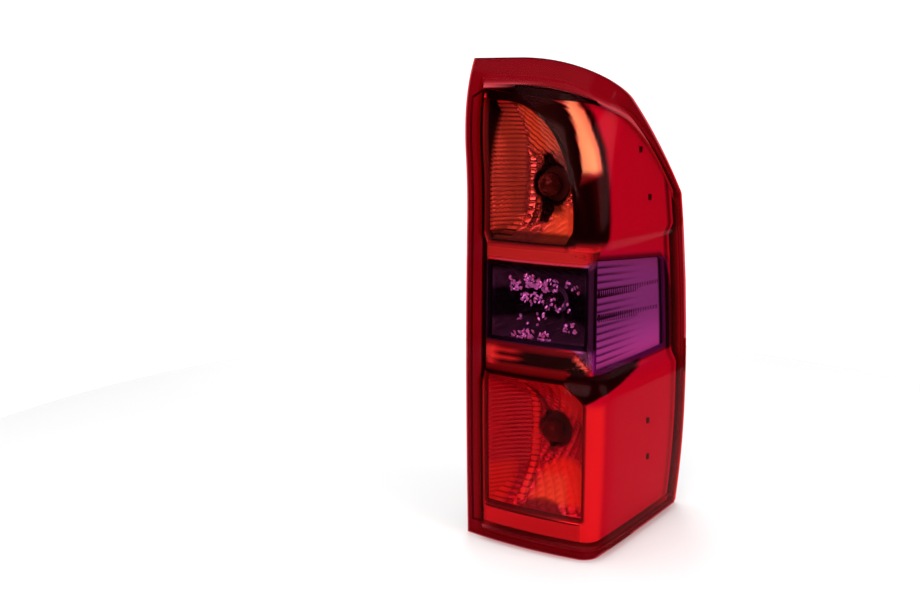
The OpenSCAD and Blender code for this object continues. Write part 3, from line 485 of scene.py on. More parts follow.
def face_at(z):
    return FACE_RISE - WAIST_DROP * np.minimum(smooth(WAIST_Z0 - SHOULDER, WAIST_Z0, z),
                                               1 - smooth(WAIST_Z1, WAIST_Z1 + SHOULDER, z))


def body_top(a, b):
    """Height of the housing's top where the line a + b * run(z) meets it."""
    return np.minimum(roof(a, b) - FLANGE_TOP - BODY_DROP,
                      LENS_H - BODY_CUT + (a + b * LENS_H - SKIRT_INSET) * BODY_SLOPE)


def stops(pairs):
    """Grid lines from (position, count up to the next one) pairs."""
    lines = []
    for (p, n), (q, _) in zip(pairs, pairs[1:]):
        lines += [p + (q - p) * k / n for k in range(n)]
    return lines + [pairs[-1][0]]


print("flange", FLANGE_W, "mm wide")

# %% Columns of the lens grid
# A column is (a, b): it runs at s = a + b * run(z)
rear = [(p, 0.0) for p in stops([(0, 2), (SKIRT_INSET, 2), (SKIRT_INSET + SKIRT_T, 4), (FLANGE_W - 1, 6),
                                 (FLANGE_W + STEP_W + 1, 2), (FLANGE_W + 2 * STEP_W, 22), (REAR_END, 22)])]
corner = [(REAR_END + (CORNER_END - REAR_END) * k / 20, 0.0) for k in range(1, 21)]
side = [(CORNER_END * (1 - k / 30) - WINDOW_END * k / 30, k / 30) for k in range(1, 31)]
end = [(-p, 1.0) for p in stops([(WINDOW_END, 6), (SIDE_FLANGE + STEP_W + 4, 2), (SIDE_FLANGE + STEP_W + 1, 6),
                                 (SIDE_FLANGE - 1, 3), (2 + SKIRT_INSET + 2 * SKIRT_T, 2),
                                 (2 + SKIRT_INSET + SKIRT_T, 3), (0, 1)])][1:]
columns = rear + corner + side + end
A, B = np.array(columns).T
near = A + B * RUN_MID
top = roof(A, B)
body = body_top(A, B)
print("columns:", len(columns), "top edge from", int(top.min()), "to", int(top.max()), "mm")


# %% Rows of the lens grid and its two skins
def row_lines(k):
    brow = top[k] - FLANGE_TOP
    upper = [(float(mid_high(near[k])), 3), (WAIST_Z1, 5), (WAIST_Z1 + SHOULDER, 40), (body[k] - SKIRT_T, 2),
             (body[k], 2), (body[k] + (brow - body[k]) * 0.8, 6), (brow + STEP_W + 1, 6), (top[k], 1)]
    return stops([(0, 3), (FLANGE_BASE - 1, 6), (FLANGE_BASE + STEP_W + 1, 2), (FOOT_Z, 1),
                  (FOOT_Z + SKIRT_T, 26), (WAIST_Z0 - SHOULDER, 6), (WAIST_Z0, 3),
                  (float(mid_low(near[k])), 20)] + upper)


rows = np.array([row_lines(k) for k in range(len(columns))])
Z = np.minimum(rows, LENS_H - 0.1)
S = A[:, None] + B[:, None] * run(Z)
from_end = run(Z) - S
step_up = (smooth(FLANGE_W, FLANGE_W + STEP_W, S) * smooth(SIDE_FLANGE, SIDE_FLANGE + STEP_W, from_end)
           * smooth(FLANGE_BASE, FLANGE_BASE + STEP_W, Z)
           * smooth(FLANGE_TOP - STEP_W, FLANGE_TOP, top[:, None] - rows))
rise = step_up * face_at(Z)
lens_outer = skin(S, Z, rise)
lens_inner = skin(S, Z, rise - LENS_T)
print("lens grid:", rows.shape)


# %% Which cells are window, ring and skirt
def grid_line(values, target):
    return int(np.argmin(np.abs(np.asarray(values) - target)))


row_at = [grid_line(rows[0], z) for z in (FOOT_Z, FOOT_Z + SKIRT_T, body[0] - SKIRT_T, body[0])]
low_row, high_row = grid_line(rows[0], MID_Z0), grid_line(rows[0], MID_Z1)
col_in = grid_line(near, SKIRT_INSET), grid_line(near, SKIRT_INSET + SKIRT_T)
col_out = (len(columns) - 1 - 4, len(columns) - 1 - 3)
win_cols = grid_line(near, FLANGE_W + 2 * STEP_W), grid_line(near, RUN_MID - WINDOW_END)
seat_x = np.interp(near, [SKIRT_INSET, SEAT_TURN], [SKIRT_INSET, SIDE_X])
seat_y = np.interp(near, [SEAT_TURN, near[col_out[1]]], [SKIRT_DEPTH, SEAT_END])
seat = np.stack(np.broadcast_arrays(seat_x[:, None], seat_y[:, None], rows), -1)
ii, jj = np.meshgrid(np.arange(len(columns) - 1), np.arange(rows.shape[1] - 1), indexing="ij")


def block(i0, i1, j0, j1):
    """The cells from column i0 to i1 and from row j0 to j1."""
    return (ii >= i0) & (ii < i1) & (jj >= j0) & (jj < j1)


in_window = block(*win_cols, low_row, high_row)
in_ring = (block(col_in[0], col_out[1], row_at[0], row_at[3])
           & ~block(col_in[1], col_out[0], row_at[1], row_at[2]))
print("ring cells:", int(in_ring.sum()), "window cells:", int(in_window.sum()))

# %% Red and violet mouldings
lens_red = add_mesh("lens_red_moulding", *shell(lens_outer, lens_inner, ~in_window, in_ring, seat), red_plastic)
lens_middle = add_mesh("lens_violet_window", *shell(lens_outer, lens_inner, in_window), violet_plastic)
for piece, node in ((lens_red, "lens_red"), (lens_middle, "lens_middle")):
    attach(piece, "root")
    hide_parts(node)
print("lens faces:", len(lens_red.data.polygons), len(lens_middle.data.polygons))

# %% [markdown]
# What lies behind the lens decides how it looks. Over the flange, the skirt and the rim of the housing it is
# backed, so nothing is seen through it. Over the fin, the glint, the painted highlights of the chambers and the
# ledges it filters less, which lightens them as painted highlight too. Both are painted on the grid with soft
# steps in millimetres.

# %% Backed parts of the lens
below_top = top[:, None] - rows
face_only = (smooth(FLANGE_W - 1, FLANGE_W + STEP_W + 1, S)
             * smooth(SIDE_FLANGE - 1, SIDE_FLANGE + STEP_W + 2, from_end)
             * smooth(FLANGE_BASE + 1, FLANGE_BASE + STEP_W + 6, Z)
             * smooth(FLANGE_TOP - STEP_W, FLANGE_TOP + 4, below_top))
under_roof = smooth(30, 22, below_top) * smooth(250, 330, Z)
front_rim = 0.45 * smooth(-28, -18, -from_end) * smooth(150, 190, S)
backed = np.maximum.reduce([1 - face_only, under_roof, front_rim])
set_layer(lens_red, "backed", np.concatenate([np.zeros(Z.size), backed.ravel(), np.ones(Z.size)]))
set_layer(lens_red, "skirt", np.concatenate([np.zeros(2 * Z.size), np.ones(Z.size)]))
print("backed share of the inner skin:", round(float(backed.mean()), 2))

# %% Paler lens over the painted highlights
GLINT_S, GLINT_Z = 126.0, 206.5
fin_edge = np.interp(Z, [325, 345, 378, 415, 446, 467], [153, 154, 150, 144, 131, 112])
fin_start = np.interp(Z, [325, 380, 415, 437, 455, 462], [119, 122, 121, 117, 108, 101])
over_fin = smooth(0, 2, S - fin_start) * smooth(0, -3, S - fin_edge) * span(Z, 388, 396, 468, 462)
upper_chamber = span(S, 26, 34, 128, 112) * span(Z, 322, 330, 462, 450)
lower_wedge = (span(S, 60, 76, 122, 114) * smooth(100, 88, Z + 0.7 * (90 - S) * (S < 90))
               * smooth(40, 50, Z))
over_chambers = np.maximum(0.45 * upper_chamber, 0.42 * lower_wedge)
over_ledges = smooth(140, 120, S) * (span(Z, 300, 304, 320, 316)
                                     + span(Z, 196, 200, 216, 212) * smooth(40, 32, S))
over_glint = 0.6 * smooth(12, 8, np.hypot(S - GLINT_S, Z - GLINT_Z))
# Painted highlight: the filter is paler over these zones.
pale = np.clip(over_fin + over_chambers + over_glint + 0.20 * over_ledges, 0, 1)
set_layer(lens_red, "pale", np.concatenate([pale.ravel(), pale.ravel(), np.zeros(Z.size)]))
# The rear of the violet window is paler too, a painted highlight for the prisms behind it.
set_zones(lens_middle, pale=0.75 * smooth(141, 135, S))
print("thin share of the red lens:", round(float(pale.mean()), 3))

# %% [markdown]
# The bright trim is the mask behind the lens. It has four windows, each rear window with a bevel round it. Its
# grid lines follow the windows' outlines, so a window is simply a block of cells that is left out.

# %% Windows of the trim
TRIM_GAP, TRIM_T, FIT, BEZEL, BEZEL_W = 9.0, 2.0, 0.3, 4.0, 5.0
UP_W, LOW_W, MID_W = LENS_W - WINDOW_S0 - 27, LENS_W - WINDOW_S0 - 12, LENS_W - WINDOW_S0 - 14
TRIM_END, TAIL, TRIM_DROP = 3.0, 24.0, 8.0


def up_right(z):
    u = np.clip((z - UP_Z0) / (UP_Z1 + 0.5 - UP_Z0), 0, 1)
    return WINDOW_S0 + UP_W * (1 - u ** 3.2) ** 0.385 - 8 * np.clip(1 - (z - UP_Z0) / 13, 0, 1)


def low_right(z):
    return WINDOW_S0 + LOW_W - 22 * np.clip((z - LOW_Z1 + 19) / 19, 0, 1) ** 1.5


def window_right(z):
    return np.where(z < (LOW_Z1 + MID_Z0) / 2, low_right(z),
                    np.where(z < (MID_Z1 + UP_Z0) / 2, WINDOW_S0 + MID_W, up_right(z)))


print("windows", UP_W, LOW_W, MID_W, "mm wide")

# %% Grid of the trim
TRIM_PARTS = [("edge", 3), ("window", 44), ("bevel", 3), ("post", 20), ("side", 44), ("tail", 6)]
UP_STOPS = 1 - (1 - np.arange(57) / 56) ** 1.7
TRIM_FOOT = 19.5


def trim_line(part, t, z):
    right = window_right(z)
    side_end = run(z) - WINDOW_END - TRIM_END
    ends = {"edge": (FLANGE_W + STEP_W + 1, WINDOW_S0), "window": (WINDOW_S0, right),
            "bevel": (right, right + BEZEL_W), "post": (right + BEZEL_W, POST_S),
            "side": (POST_S, side_end), "tail": (side_end, run(z) - TAIL)}[part]
    return ends[0] * (1 - t) + ends[1] * t + 0 * z


cols = [(part, k / n) for part, n in TRIM_PARTS for k in range(n)] + [("tail", 1.0)]
part_start = dict(zip([p for p, _ in TRIM_PARTS], np.cumsum([0] + [n for _, n in TRIM_PARTS])))


def trim_rows(part, t):
    s = FLARE_S if part in ("edge", "window", "bevel") else float(trim_line(part, t, np.array(MID_Z)))
    if part in ("edge", "window"):
        high = UP_Z1
    elif part == "bevel":
        high = UP_Z1 + 3 * t
    elif part == "post":
        high = (UP_Z1 + 3) * (1 - t) + (float(body_top(POST_S, 0)) - TRIM_DROP) * t
    elif part == "side":
        high = float(body_top(POST_S * (1 - t) - (WINDOW_END + TRIM_END) * t, t)) - TRIM_DROP
    else:
        high = float(body_top(-TAIL - (WINDOW_END + TRIM_END - TAIL) * (1 - t), 1)) - TRIM_DROP
    low, mid_top = float(mid_low(s)) + 2, float(mid_high(s)) - 2
    lines = stops([(TRIM_FOOT, 5), (LOW_Z0 - BEZEL_W, 3), (LOW_Z0, 30), (LOW_Z1 - 19, 18), (LOW_Z1, 3),
                   (LOW_Z1 + BEZEL_W, 8), (low - BEZEL_W, 3), (low, 26), (mid_top, 3), (mid_top + BEZEL_W, 5),
                   (max(UP_Z0 - BEZEL_W, mid_top + BEZEL_W + 1), 3), (UP_Z0, 1)])
    return lines[:-1] + [UP_Z0 + (high - UP_Z0) * u for u in UP_STOPS] + [high + 3, high + 7]


trim_z = np.array([trim_rows(part, t) for part, t in cols])
trim_s = np.array([trim_line(part, t, z) for (part, t), z in zip(cols, trim_z)])
# Rows before each stop of trim_rows
row_start = np.cumsum([0, 5, 3, 30, 18, 3, 8, 3, 26, 3, 5, 3])
r_low = (row_start[2], row_start[4])
r_mid = (row_start[7], row_start[8])
r_up = (row_start[11], row_start[11] + len(UP_STOPS) - 1)
ci, rj = np.meshgrid(np.arange(len(cols)), np.arange(trim_z.shape[1]), indexing="ij")
print("trim grid:", trim_z.shape)


# %% Bevels and skins of the trim
def band(rows_of):
    return np.clip(np.minimum(rj - rows_of[0] + 3, rows_of[1] + 3 - rj) / 3, 0, 1)


def inside(rows_of):
    return (rj[:-1, :-1] >= rows_of[0]) & (rj[:-1, :-1] < rows_of[1])


across_window = np.clip(np.minimum(ci / 3, (part_start["post"] - ci) / 3), 0, 1)
top_bevel = np.clip((trim_z.shape[1] - 1 - rj) / 2, 0, 1)
in_upper = np.where(rj > r_up[1], top_bevel, band(r_up))
sunk = across_window * np.maximum.reduce([band(r_low), band(r_mid), in_upper])
trim_h = face_at(trim_z) - TRIM_GAP - BEZEL * sunk
trim_outer = skin(trim_s, trim_z, trim_h)
trim_inner = skin(trim_s, trim_z, trim_h - TRIM_T)
cell_i = ci[:-1, :-1]
trim_open = (cell_i >= 3) & (cell_i < part_start["bevel"]) & (inside(r_low) | inside(r_mid) | inside(r_up))
trim_open |= (cell_i >= part_start["side"]) & (cell_i < part_start["tail"]) & inside(r_mid)
trim = add_mesh("bright_trim_frame", *shell(trim_outer, trim_inner, ~trim_open), trim_metal, sharp=40)
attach(trim, "root")
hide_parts("trim_frame")
print("trim faces:", len(trim.data.polygons))

# %% [markdown]
# The trim is finished in zones: a satin panel along the side, a painted warm highlight on the fin beside the
# upper window, and painted shade and painted dark reflections in the scoop under the purple part, on the ledges
# and along every bevel. On the real part the black and warm zones are shade and reflections in the metal coat.
# Here they are numbers on the mesh, worked out from each point's arc length and height.


# %% Lines between the zones
def curve_of(points):
    """A line through chosen (place, value) points."""
    return lambda q: np.interp(q, [p[0] for p in points], [p[1] for p in points])


fin_right = curve_of([(186, 131), (200, 140), (325, 153), (345, 154), (378, 150), (415, 144), (446, 131),
                      (467, 112)])
fin_left = curve_of([(320, 118), (380, 122), (393, 126), (414, 123.5), (436, 118.5), (455, 109), (462, 101)])
scoop_low = curve_of([(112, 184), (122, 172), (133, 166), (149, 174.5), (186, 179.5), (232, 187.5), (240, 192)])
ts, tz = trim_s, trim_z
left_of_fin = smooth(1, -1, ts - fin_right(tz))
panel = smooth(-1, 1, ts - fin_right(tz))
lower_lip = smooth(216, 212, tz)
print("fin", round(float(fin_right(415) - fin_left(415)), 1), "mm wide at its middle")

# %% Painted shade and dark reflections
scoop = (smooth(-1, 1, tz - scoop_low(ts)) * smooth(240, 222, ts)
         * smooth(192, 190, tz - 4 * smooth(110, 118, ts)))
ledge = span(tz, 193, 196, 216, 213) * span(ts, 26, 40, 140, 128)
over_sill = smooth(318, 326, tz)
beside_window = smooth(-0.5, 1.5, ts - window_right(tz)) * smooth(0.5, -1, ts - fin_left(tz)) * over_sill
fin_foot = smooth(396, 384, tz - 0.35 * (ts - 135)) * smooth(320, 326, tz) * left_of_fin * smooth(24, 27, ts)
under_top = left_of_fin * smooth(461, 465, tz)
front_line = (span(ts - run(tz), -40, -34, -27, -31)
              * (0.8 - 0.4 * smooth(200, 180, tz)))
arch_line = span(ts - fin_right(tz), -2, 0, 11, 4) * over_sill
round_side = (smooth(POST_S - 6, POST_S - 2, ts) * smooth(SIDE_Z0 - 8, SIDE_Z0 - 2, tz)
              * smooth(4, 0, tz - mid_high(np.maximum(ts, POST_S))))
round_rear = (span(tz, MID_Z0 - 4, MID_Z0 - 2, MID_Z1 + 3, MID_Z1 + 1)
              * smooth(POST_S, POST_S - 3, ts))
bevels = smooth(0, 0.5, sunk) * 0.85
shoulder_line = smooth(1.6, 0.4, np.abs(ts - window_right(tz) - BEZEL_W - 2)) * (tz > 180) * (tz < 190)
# All of shade is painted shade and painted dark reflections.
shade = np.clip(scoop + ledge + fin_foot + front_line + arch_line + 0.9 * under_top + bevels + shoulder_line
                + beside_window + 0.8 * round_side + 0.9 * round_rear, 0, 1)
print("dark share of the trim:", round(float(shade.mean()), 2))

# %% Painted highlights and the finished layers
# Painted highlights: the fin, a strip, the ledges, a glint and streaks on the lower ledge.
fin_glow = (smooth(0, 3, ts - window_right(tz) - BEZEL_W) * left_of_fin * smooth(388, 396, tz)
            * (1 - beside_window))
strip = span(ts, 128, 131, 160, 150) * smooth(170, 160, tz)
upper_ledge = span(tz, 302, 305, 321, 316) * smooth(148, 128, ts)
lower_ledge = smooth(198, 202, tz) * lower_lip * smooth(44, 30, ts)
glint = (smooth(3.2, 1.2, np.abs((ts - GLINT_S) * 0.68 + (tz - GLINT_Z) * 0.73))
         * smooth(11, 8, np.hypot(ts - GLINT_S, tz - GLINT_Z)))
# Painted highlight streaks in rows along the lower ledge.
highlight_streaks = (smooth(1.4, 0.6, np.abs(np.mod(tz - 199, 7) - 3.5)) * smooth(196, 199, tz) * lower_lip
           * smooth(70, 50, ts))
shade = shade * (1 - glint) * (1 - 0.8 * highlight_streaks)
glow = np.clip(glint + 0.8 * highlight_streaks * (ts > 28) + 0.9 * fin_glow + 0.7 * strip + 0.6 * upper_ledge
               + 0.7 * lower_ledge, 0, 1)
set_zones(trim, satin=panel, shade=shade, glow=glow)
print("warm share of the trim:", round(float(glow.mean()), 2))

# %% [markdown]
# Each reflector is a bowl from its window's outline in to a round hole for the bulb. Its surface is laid out in
# pillow facets: level ribs near the inner edge, slanting rows beyond them, and one upright bar of prisms. The
# facets are raised in the mesh itself, so that every one of them mirrors a different piece of the studio.

# %% Facets of the bowls
UP_RIB, UP_RIB_END, UP_BAR_X, UP_ROW = 4.3, 43, 51, 5.2
LOW_RIB, LOW_RIB_END, LOW_BAR_X, LOW_BAR_PITCH = 4.6, 52, 58, 6.0


def pillow(p, q, pitch_p, pitch_q, height):
    """Rows of small domes: p and q are the two directions across the facets."""
    u = np.mod(p / pitch_p, 1) - 0.5
    v = np.mod(q / pitch_q, 1) - 0.5
    return height * (1 - 4 * u * u) * (1 - 4 * v * v) ** 0.5


def turned(x, z, degrees):
    a = math.radians(degrees)
    return x * math.cos(a) + z * math.sin(a), z * math.cos(a) - x * math.sin(a)


def upper_facets(x, z):
    ribs = pillow(x, z, 60, UP_RIB, 1.6)
    slant = pillow(*turned(x, z, -40), 10.0, UP_ROW, 2.8)
    low_slant = pillow(*turned(x, z, 36), 12.0, 6.0, 2.2)
    bar = pillow(x, z, 30, 6.5, 2.2) + 5.0 * smooth(8, 2, np.abs(x - UP_BAR_X))
    lift = np.where(z > 345, slant, low_slant)
    lift = np.where(x < UP_RIB_END, ribs, lift)
    return np.where((np.abs(x - UP_BAR_X) < 7) & (z > 338) & (z < 405), bar, lift)


def lower_facets(x, z):
    ribs = pillow(x, z, 60, LOW_RIB, 1.5)
    slant = pillow(*turned(x, z, -24), 8.0, 5.0, 1.6)
    low_slant = pillow(*turned(x, z, 34), 9.0, 6.0, 2.0)
    bar = pillow(x, z, 30, LOW_BAR_PITCH, 2.0) + 4.0 * smooth(6, 2, np.abs(x - LOW_BAR_X))
    lift = np.where(z > 95 - 0.2 * (118 - x), slant, low_slant)
    lift = np.where(x < LOW_RIB_END, ribs, lift)
    return np.where((np.abs(x - LOW_BAR_X) < 5) & (z > 50) & (z < 158), bar, lift)


def middle_facets(x, z):
    return pillow(*turned(x, z, 20), 11.0, 7.0, 1.6)


print("upper ribs every", UP_RIB, "mm, lower ribs every", LOW_RIB, "mm")

# %% A bowl from its outline in to its hole
SEAT_Y = SKIRT_DEPTH
BOWL_BACK = SEAT_Y - 7
COLLAR_T, BOWL_T = 1.6, 2.0
EDGE_POINTS, RINGS = 90, 110


def bowl_outline(z0, z1, right, n):
    """Points round a window: up its right edge, along the top, down the left edge, along the bottom."""
    t = np.arange(n) / n
    rise = z0 + (z1 - z0) * (1 - (1 - t) ** 1.7)
    s = np.concatenate([right(rise), right(z1) * (1 - t) + WINDOW_S0 * t, np.full(n, WINDOW_S0),
                        WINDOW_S0 * (1 - t) + right(z0) * t])
    z = np.concatenate([rise, np.full(n, z1), z1 + (z0 - z1) * t, np.full(n, z0)])
    return s, z


def make_bowl(name, node, outline, centre, hole_r, facets, finish, shade_at, glow_at, satin):
    """One reflector. outline is (foot, head, right edge); shade_at and glow_at give its painted shade and
    painted highlights.
    """
    s, z = bowl_outline(*outline, EDGE_POINTS)
    rim = skin(s, z, face_at(z) - TRIM_GAP - BEZEL - TRIM_T - FIT)
    ray = rim[:, [0, 2]] - centre
    far = np.linalg.norm(ray, axis=1)[:, None]
    ray = ray / far
    u = (np.arange(RINGS + 1) / RINGS)[None, :]
    reach = far * (1 - u) + hole_r * u
    x, zz = (centre[k] + ray[:, k:k + 1] * reach for k in (0, 1))
    deep = BOWL_BACK + (rim[:, 1:2] - BOWL_BACK) * (1 - u) ** 2
    edge = span(u, 0, 0.05, 1, 0.95)
    seen = np.stack([x, deep - facets(x, zz) * edge * smooth(0, 6, deep - rim[:, 1:2] + 3), zz], -1)
    rear_reach = reach + BOWL_T * (1 - u) + COLLAR_T * u
    rear_x, rear_z = (centre[k] + ray[:, k:k + 1] * rear_reach for k in (0, 1))
    rear = np.stack([rear_x, deep + BOWL_T * np.minimum(1, 2 * u), rear_z], -1)
    closed = []
    for grid in (seen, rear):
        collar = np.stack([grid[:, -1, 0], np.full(len(grid), SEAT_Y - FIT), grid[:, -1, 2]], -1)
        grid = np.concatenate([grid, collar[:, None]], 1)
        closed.append(np.concatenate([grid, grid[:1]], 0))
    ni, nj = closed[0].shape[:2]
    bowl = add_mesh(name, *shell(closed[0], closed[1], np.ones((ni - 1, nj - 1), bool)), finish, sharp=14)
    cx, cz = closed[0][..., 0], closed[0][..., 2]
    set_zones(bowl, shade=shade_at(cx, cz), glow=glow_at(cx, cz), satin=satin + 0 * cx)
    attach(bowl, "root")
    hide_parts(node)
    print(name, len(bowl.data.polygons), "faces")


# %% [markdown]
# A real bowl is bright only where its facets happen to face a light, and black in its grooves and round the
# bulb. A small studio can't repeat those chances, so each bowl carries painted shade and painted highlights as
# well, in the layers shade and glow, written as soft masks of the place on it in millimetres.

# %% Painted shade and highlights of the upper bowl
HOLE_R = 18.0
UPPER_C = np.array([SIDE_X - 41, UP_Z0 + 0.4 * (UP_Z1 - UP_Z0)])


def from_middle(place, pitch):
    """How far a place is from the middle of its facet, in shares of the pitch."""
    return np.abs(np.mod(place / pitch, 1) - 0.5)


def upper_shade(x, z):
    patch = smooth(1.5, -1.5, np.abs(x - 66) - 6) * span(z, 337, 341, 412, 404)
    floor = smooth(333, 329, z)
    round_hole = smooth(5, 1, np.hypot(x - UPPER_C[0], z - UPPER_C[1]) - HOLE_R)
    left_edge = smooth(25, 21, x)
    grooves = 0.75 * smooth(0.30, 0.42, from_middle(z, UP_RIB)) * (x < UP_RIB_END)
    across = turned(x, z, -40)[1]
    between = 0.8 * smooth(0.28, 0.45, from_middle(across, UP_ROW)) * smooth(398, 406, z) * (x > UP_RIB_END)
    hollow = 0.8 * span(z, 345, 352, 410, 395) * span(x, 40, 46, 90, 80) * (np.abs(x - UP_BAR_X) > 6)
    return np.clip(patch + 0.85 * floor + round_hole + left_edge + grooves + hollow + between, 0, 1)


def upper_glow(x, z):
    ribs = 0.45 * smooth(44, 40, x) * smooth(0.42, 0.2, from_middle(z, UP_RIB))
    return ribs + 0.75 * smooth(66, 80, x) * smooth(366, 350, z) + 0.8 * smooth(400, 418, z) * smooth(43, 50, x)


make_bowl("upper_bowl", "upper_reflector", (UP_Z0, UP_Z1, up_right), UPPER_C, HOLE_R, upper_facets, bowl_metal,
          upper_shade, upper_glow, 0.05)

# %% Painted shade and highlights of the lower bowl
LOWER_C = np.array([SIDE_X - 31, LOW_Z0 + 0.575 * (LOW_Z1 - LOW_Z0)])


def lower_shade(x, z):
    bent = x - 76 + 0.0035 * (z - 100) ** 2 * (z > 100)
    arch = smooth(5, 2, np.abs(bent)) * span(z, 92, 100, 180, 172)
    foot = smooth(2, -2, np.hypot(x - 84, z - 20) - 34)
    round_hole = smooth(4, 1, np.hypot(x - LOWER_C[0], z - LOWER_C[1]) - HOLE_R)
    grooves = 0.5 * smooth(0.30, 0.42, from_middle(z, LOW_RIB)) * (x < LOW_RIB_END)
    return np.clip(0.75 * arch + 0.6 * foot + 0.8 * round_hole + grooves, 0, 1)


def lower_glow(x, z):
    bar = (0.45 * smooth(5, 3, np.abs(x - LOW_BAR_X)) * smooth(0.45, 0.2, from_middle(z, LOW_BAR_PITCH))
           * smooth(45, 52, z))
    left_foot = 0.5 * smooth(46, 36, x) * smooth(90, 76, z)
    wedge = 0.75 * smooth(60, 76, x) * smooth(100, 88, z + 0.7 * (90 - x) * (x < 90)) * smooth(48, 54, z)
    return np.clip(wedge + 0.3 * smooth(130, 150, z) * smooth(82, 90, x) + bar + left_foot, 0, 1)


make_bowl("lower_bowl", "lower_reflector", (LOW_Z0, LOW_Z1, low_right), LOWER_C, HOLE_R, lower_facets,
          lower_metal, lower_shade, lower_glow, 0.35)

# %% Middle bowl
MIDDLE_C = np.array([SIDE_X - 36, MID_Z])
MIDDLE_HOLE_R = 15.0


def middle_right(z):
    return WINDOW_S0 + MID_W + 0 * z


# Painted shade over the whole middle bowl, a little less along the two rows of prisms.
def middle_shade(x, z):
    row = np.maximum(smooth(13, 6, np.abs(z - 282)), smooth(13, 6, np.abs(z - 231)))
    return 1 - 0.12 * row


def no_glow(x, z):
    return 0 * x


make_bowl("middle_bowl", "middle_reflector", (MID_Z0 + 2, MID_Z1 - 2, middle_right), MIDDLE_C, MIDDLE_HOLE_R,
          middle_facets, bowl_metal, middle_shade, no_glow, 0.1)

# %% [markdown]
# Behind the side part of the purple window lies a satin panel with saw-tooth ribs that fade out towards the
# front of the car. They are cut into its outer skin on a grid with twelve lines to a rib, so they bend with
# the lamp. It carries painted shade at both ends and in the hollow of each rib, and painted light low down,
# as in the photo.

# %% Ribbed panel behind the side window
FLUTES, FLUTE_RISE, FLUTE_T, FLUTE_LINES, FLUTE_COLUMNS = 15, 1.4, 1.5, 12, 90
flute_t = np.linspace(0, 1, FLUTE_COLUMNS)[:, None]
flute_u = np.linspace(0, 1, FLUTES * FLUTE_LINES + 1)[None, :]
flute_s0 = POST_S - 3
flute_mid = flute_s0 * (1 - flute_t) + (RUN_MID - WINDOW_END - 1) * flute_t
flute_top = mid_high(np.maximum(POST_S, flute_mid)) - 3
flute_z = (SIDE_Z0 + 1) * (1 - flute_u) + flute_top * flute_u
flute_s = flute_s0 * (1 - flute_t) + (run(flute_z) - WINDOW_END - 1) * flute_t
ridge = 1 - np.mod(flute_u * FLUTES, 1)
fade = smooth(0.75, 0.1, flute_t)
flute_cut = FLUTE_RISE * ridge * fade * smooth(0, 0.04, flute_t)
behind = face_at(flute_z) - TRIM_GAP - TRIM_T - FIT
panel_rows = sheet("ribbed_side_panel", flute_s, flute_z, behind - flute_cut, behind - FLUTE_RISE - FLUTE_T,
                   flute_satin, sharp=30)
# Painted shade at both ends and in each rib's hollow, and painted light low down.
end_shade = (smooth(0.93, 0.96, flute_t) + 0.5 * smooth(0.05, 0.0, flute_t)
             + 0.85 * smooth(0.55, 0.95, ridge) * fade)
low_light = smooth(250, 205, flute_z) * 0.8
set_zones(panel_rows, satin=1 + 0 * flute_z, shade=np.clip(end_shade + 0 * flute_z, 0, 1), glow=low_light)
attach(panel_rows, "root")
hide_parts("side_fluting")
print("ribbed panel:", FLUTES, "ribs,", len(panel_rows.data.polygons), "faces")

# %% [markdown]
# Three kinds of small pieces repeat: dark ticks in two rows on the ribbed panel, bright prisms in clusters in
# the mouth of the middle bowl, and a few dark tabs on the trim. Geometry Nodes puts a copy of one small shape
# on every point of a mesh of points, gives each a random turn where that is asked for, and makes them real.


# %% Copies on points
def copies(name, points, shape_size, turn, seed, material, ball=False):
    mesh = bpy.data.meshes.new(name + "_points")
    mesh.from_pydata((np.asarray(points) * MM).tolist(), [], [])
    obj = bpy.data.objects.new(name, mesh)
    bpy.context.scene.collection.objects.link(obj)
    tree = bpy.data.node_groups.new(name, "GeometryNodeTree")
    face = tree.interface
    face.new_socket("Geometry", in_out="INPUT", socket_type="NodeSocketGeometry")
    size_in = face.new_socket("Size", in_out="INPUT", socket_type="NodeSocketVector")
    angle_in = face.new_socket("Turn", in_out="INPUT", socket_type="NodeSocketFloat")
    seed_in = face.new_socket("Seed", in_out="INPUT", socket_type="NodeSocketInt")
    face.new_socket("Geometry", in_out="OUTPUT", socket_type="NodeSocketGeometry")
    v = Value(tree, None)
    start = v.node("NodeGroupInput")
    if ball:
        shape = v.node("GeometryNodeMeshIcoSphere", Radius=0.5, Subdivisions=1)
    else:
        shape = v.node("GeometryNodeMeshCube", Size=(1, 1, 1))
    sized = v.node("GeometryNodeTransform", Geometry=shape.outputs[0], Scale=start.outputs["Size"])
    random = v.node("FunctionNodeRandomValue", {"data_type": "FLOAT_VECTOR"}, Seed=start.outputs["Seed"])
    random.inputs["Min"].default_value = (-1, -1, -1)
    spin = v.node("ShaderNodeVectorMath", {"operation": "SCALE"}, i0=random.outputs["Value"],
                  Scale=start.outputs["Turn"])
    placed = v.node("GeometryNodeInstanceOnPoints", Points=start.outputs[0], Instance=sized.outputs[0],
                    Rotation=spin.outputs[0])
    real = v.node("GeometryNodeRealizeInstances", Geometry=placed.outputs[0])
    finish = v.node("GeometryNodeSetMaterial", Geometry=real.outputs[0], Material=material)
    v.node("NodeGroupOutput", Geometry=finish.outputs[0])
    nodes = obj.modifiers.new("copies", "NODES")
    nodes.node_group = tree
    nodes[size_in.identifier] = tuple(c * MM for c in shape_size)
    nodes[angle_in.identifier] = turn
    nodes[seed_in.identifier] = seed
    evaluated = obj.evaluated_get(bpy.context.evaluated_depsgraph_get())
    plain = bpy.data.meshes.new_from_object(evaluated)
    obj.modifiers.remove(nodes)
    obj.data = plain
    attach(obj, "root")
    print(name, len(plain.polygons), "faces")
    return obj


print("copies: size, turn and seed are its inputs")

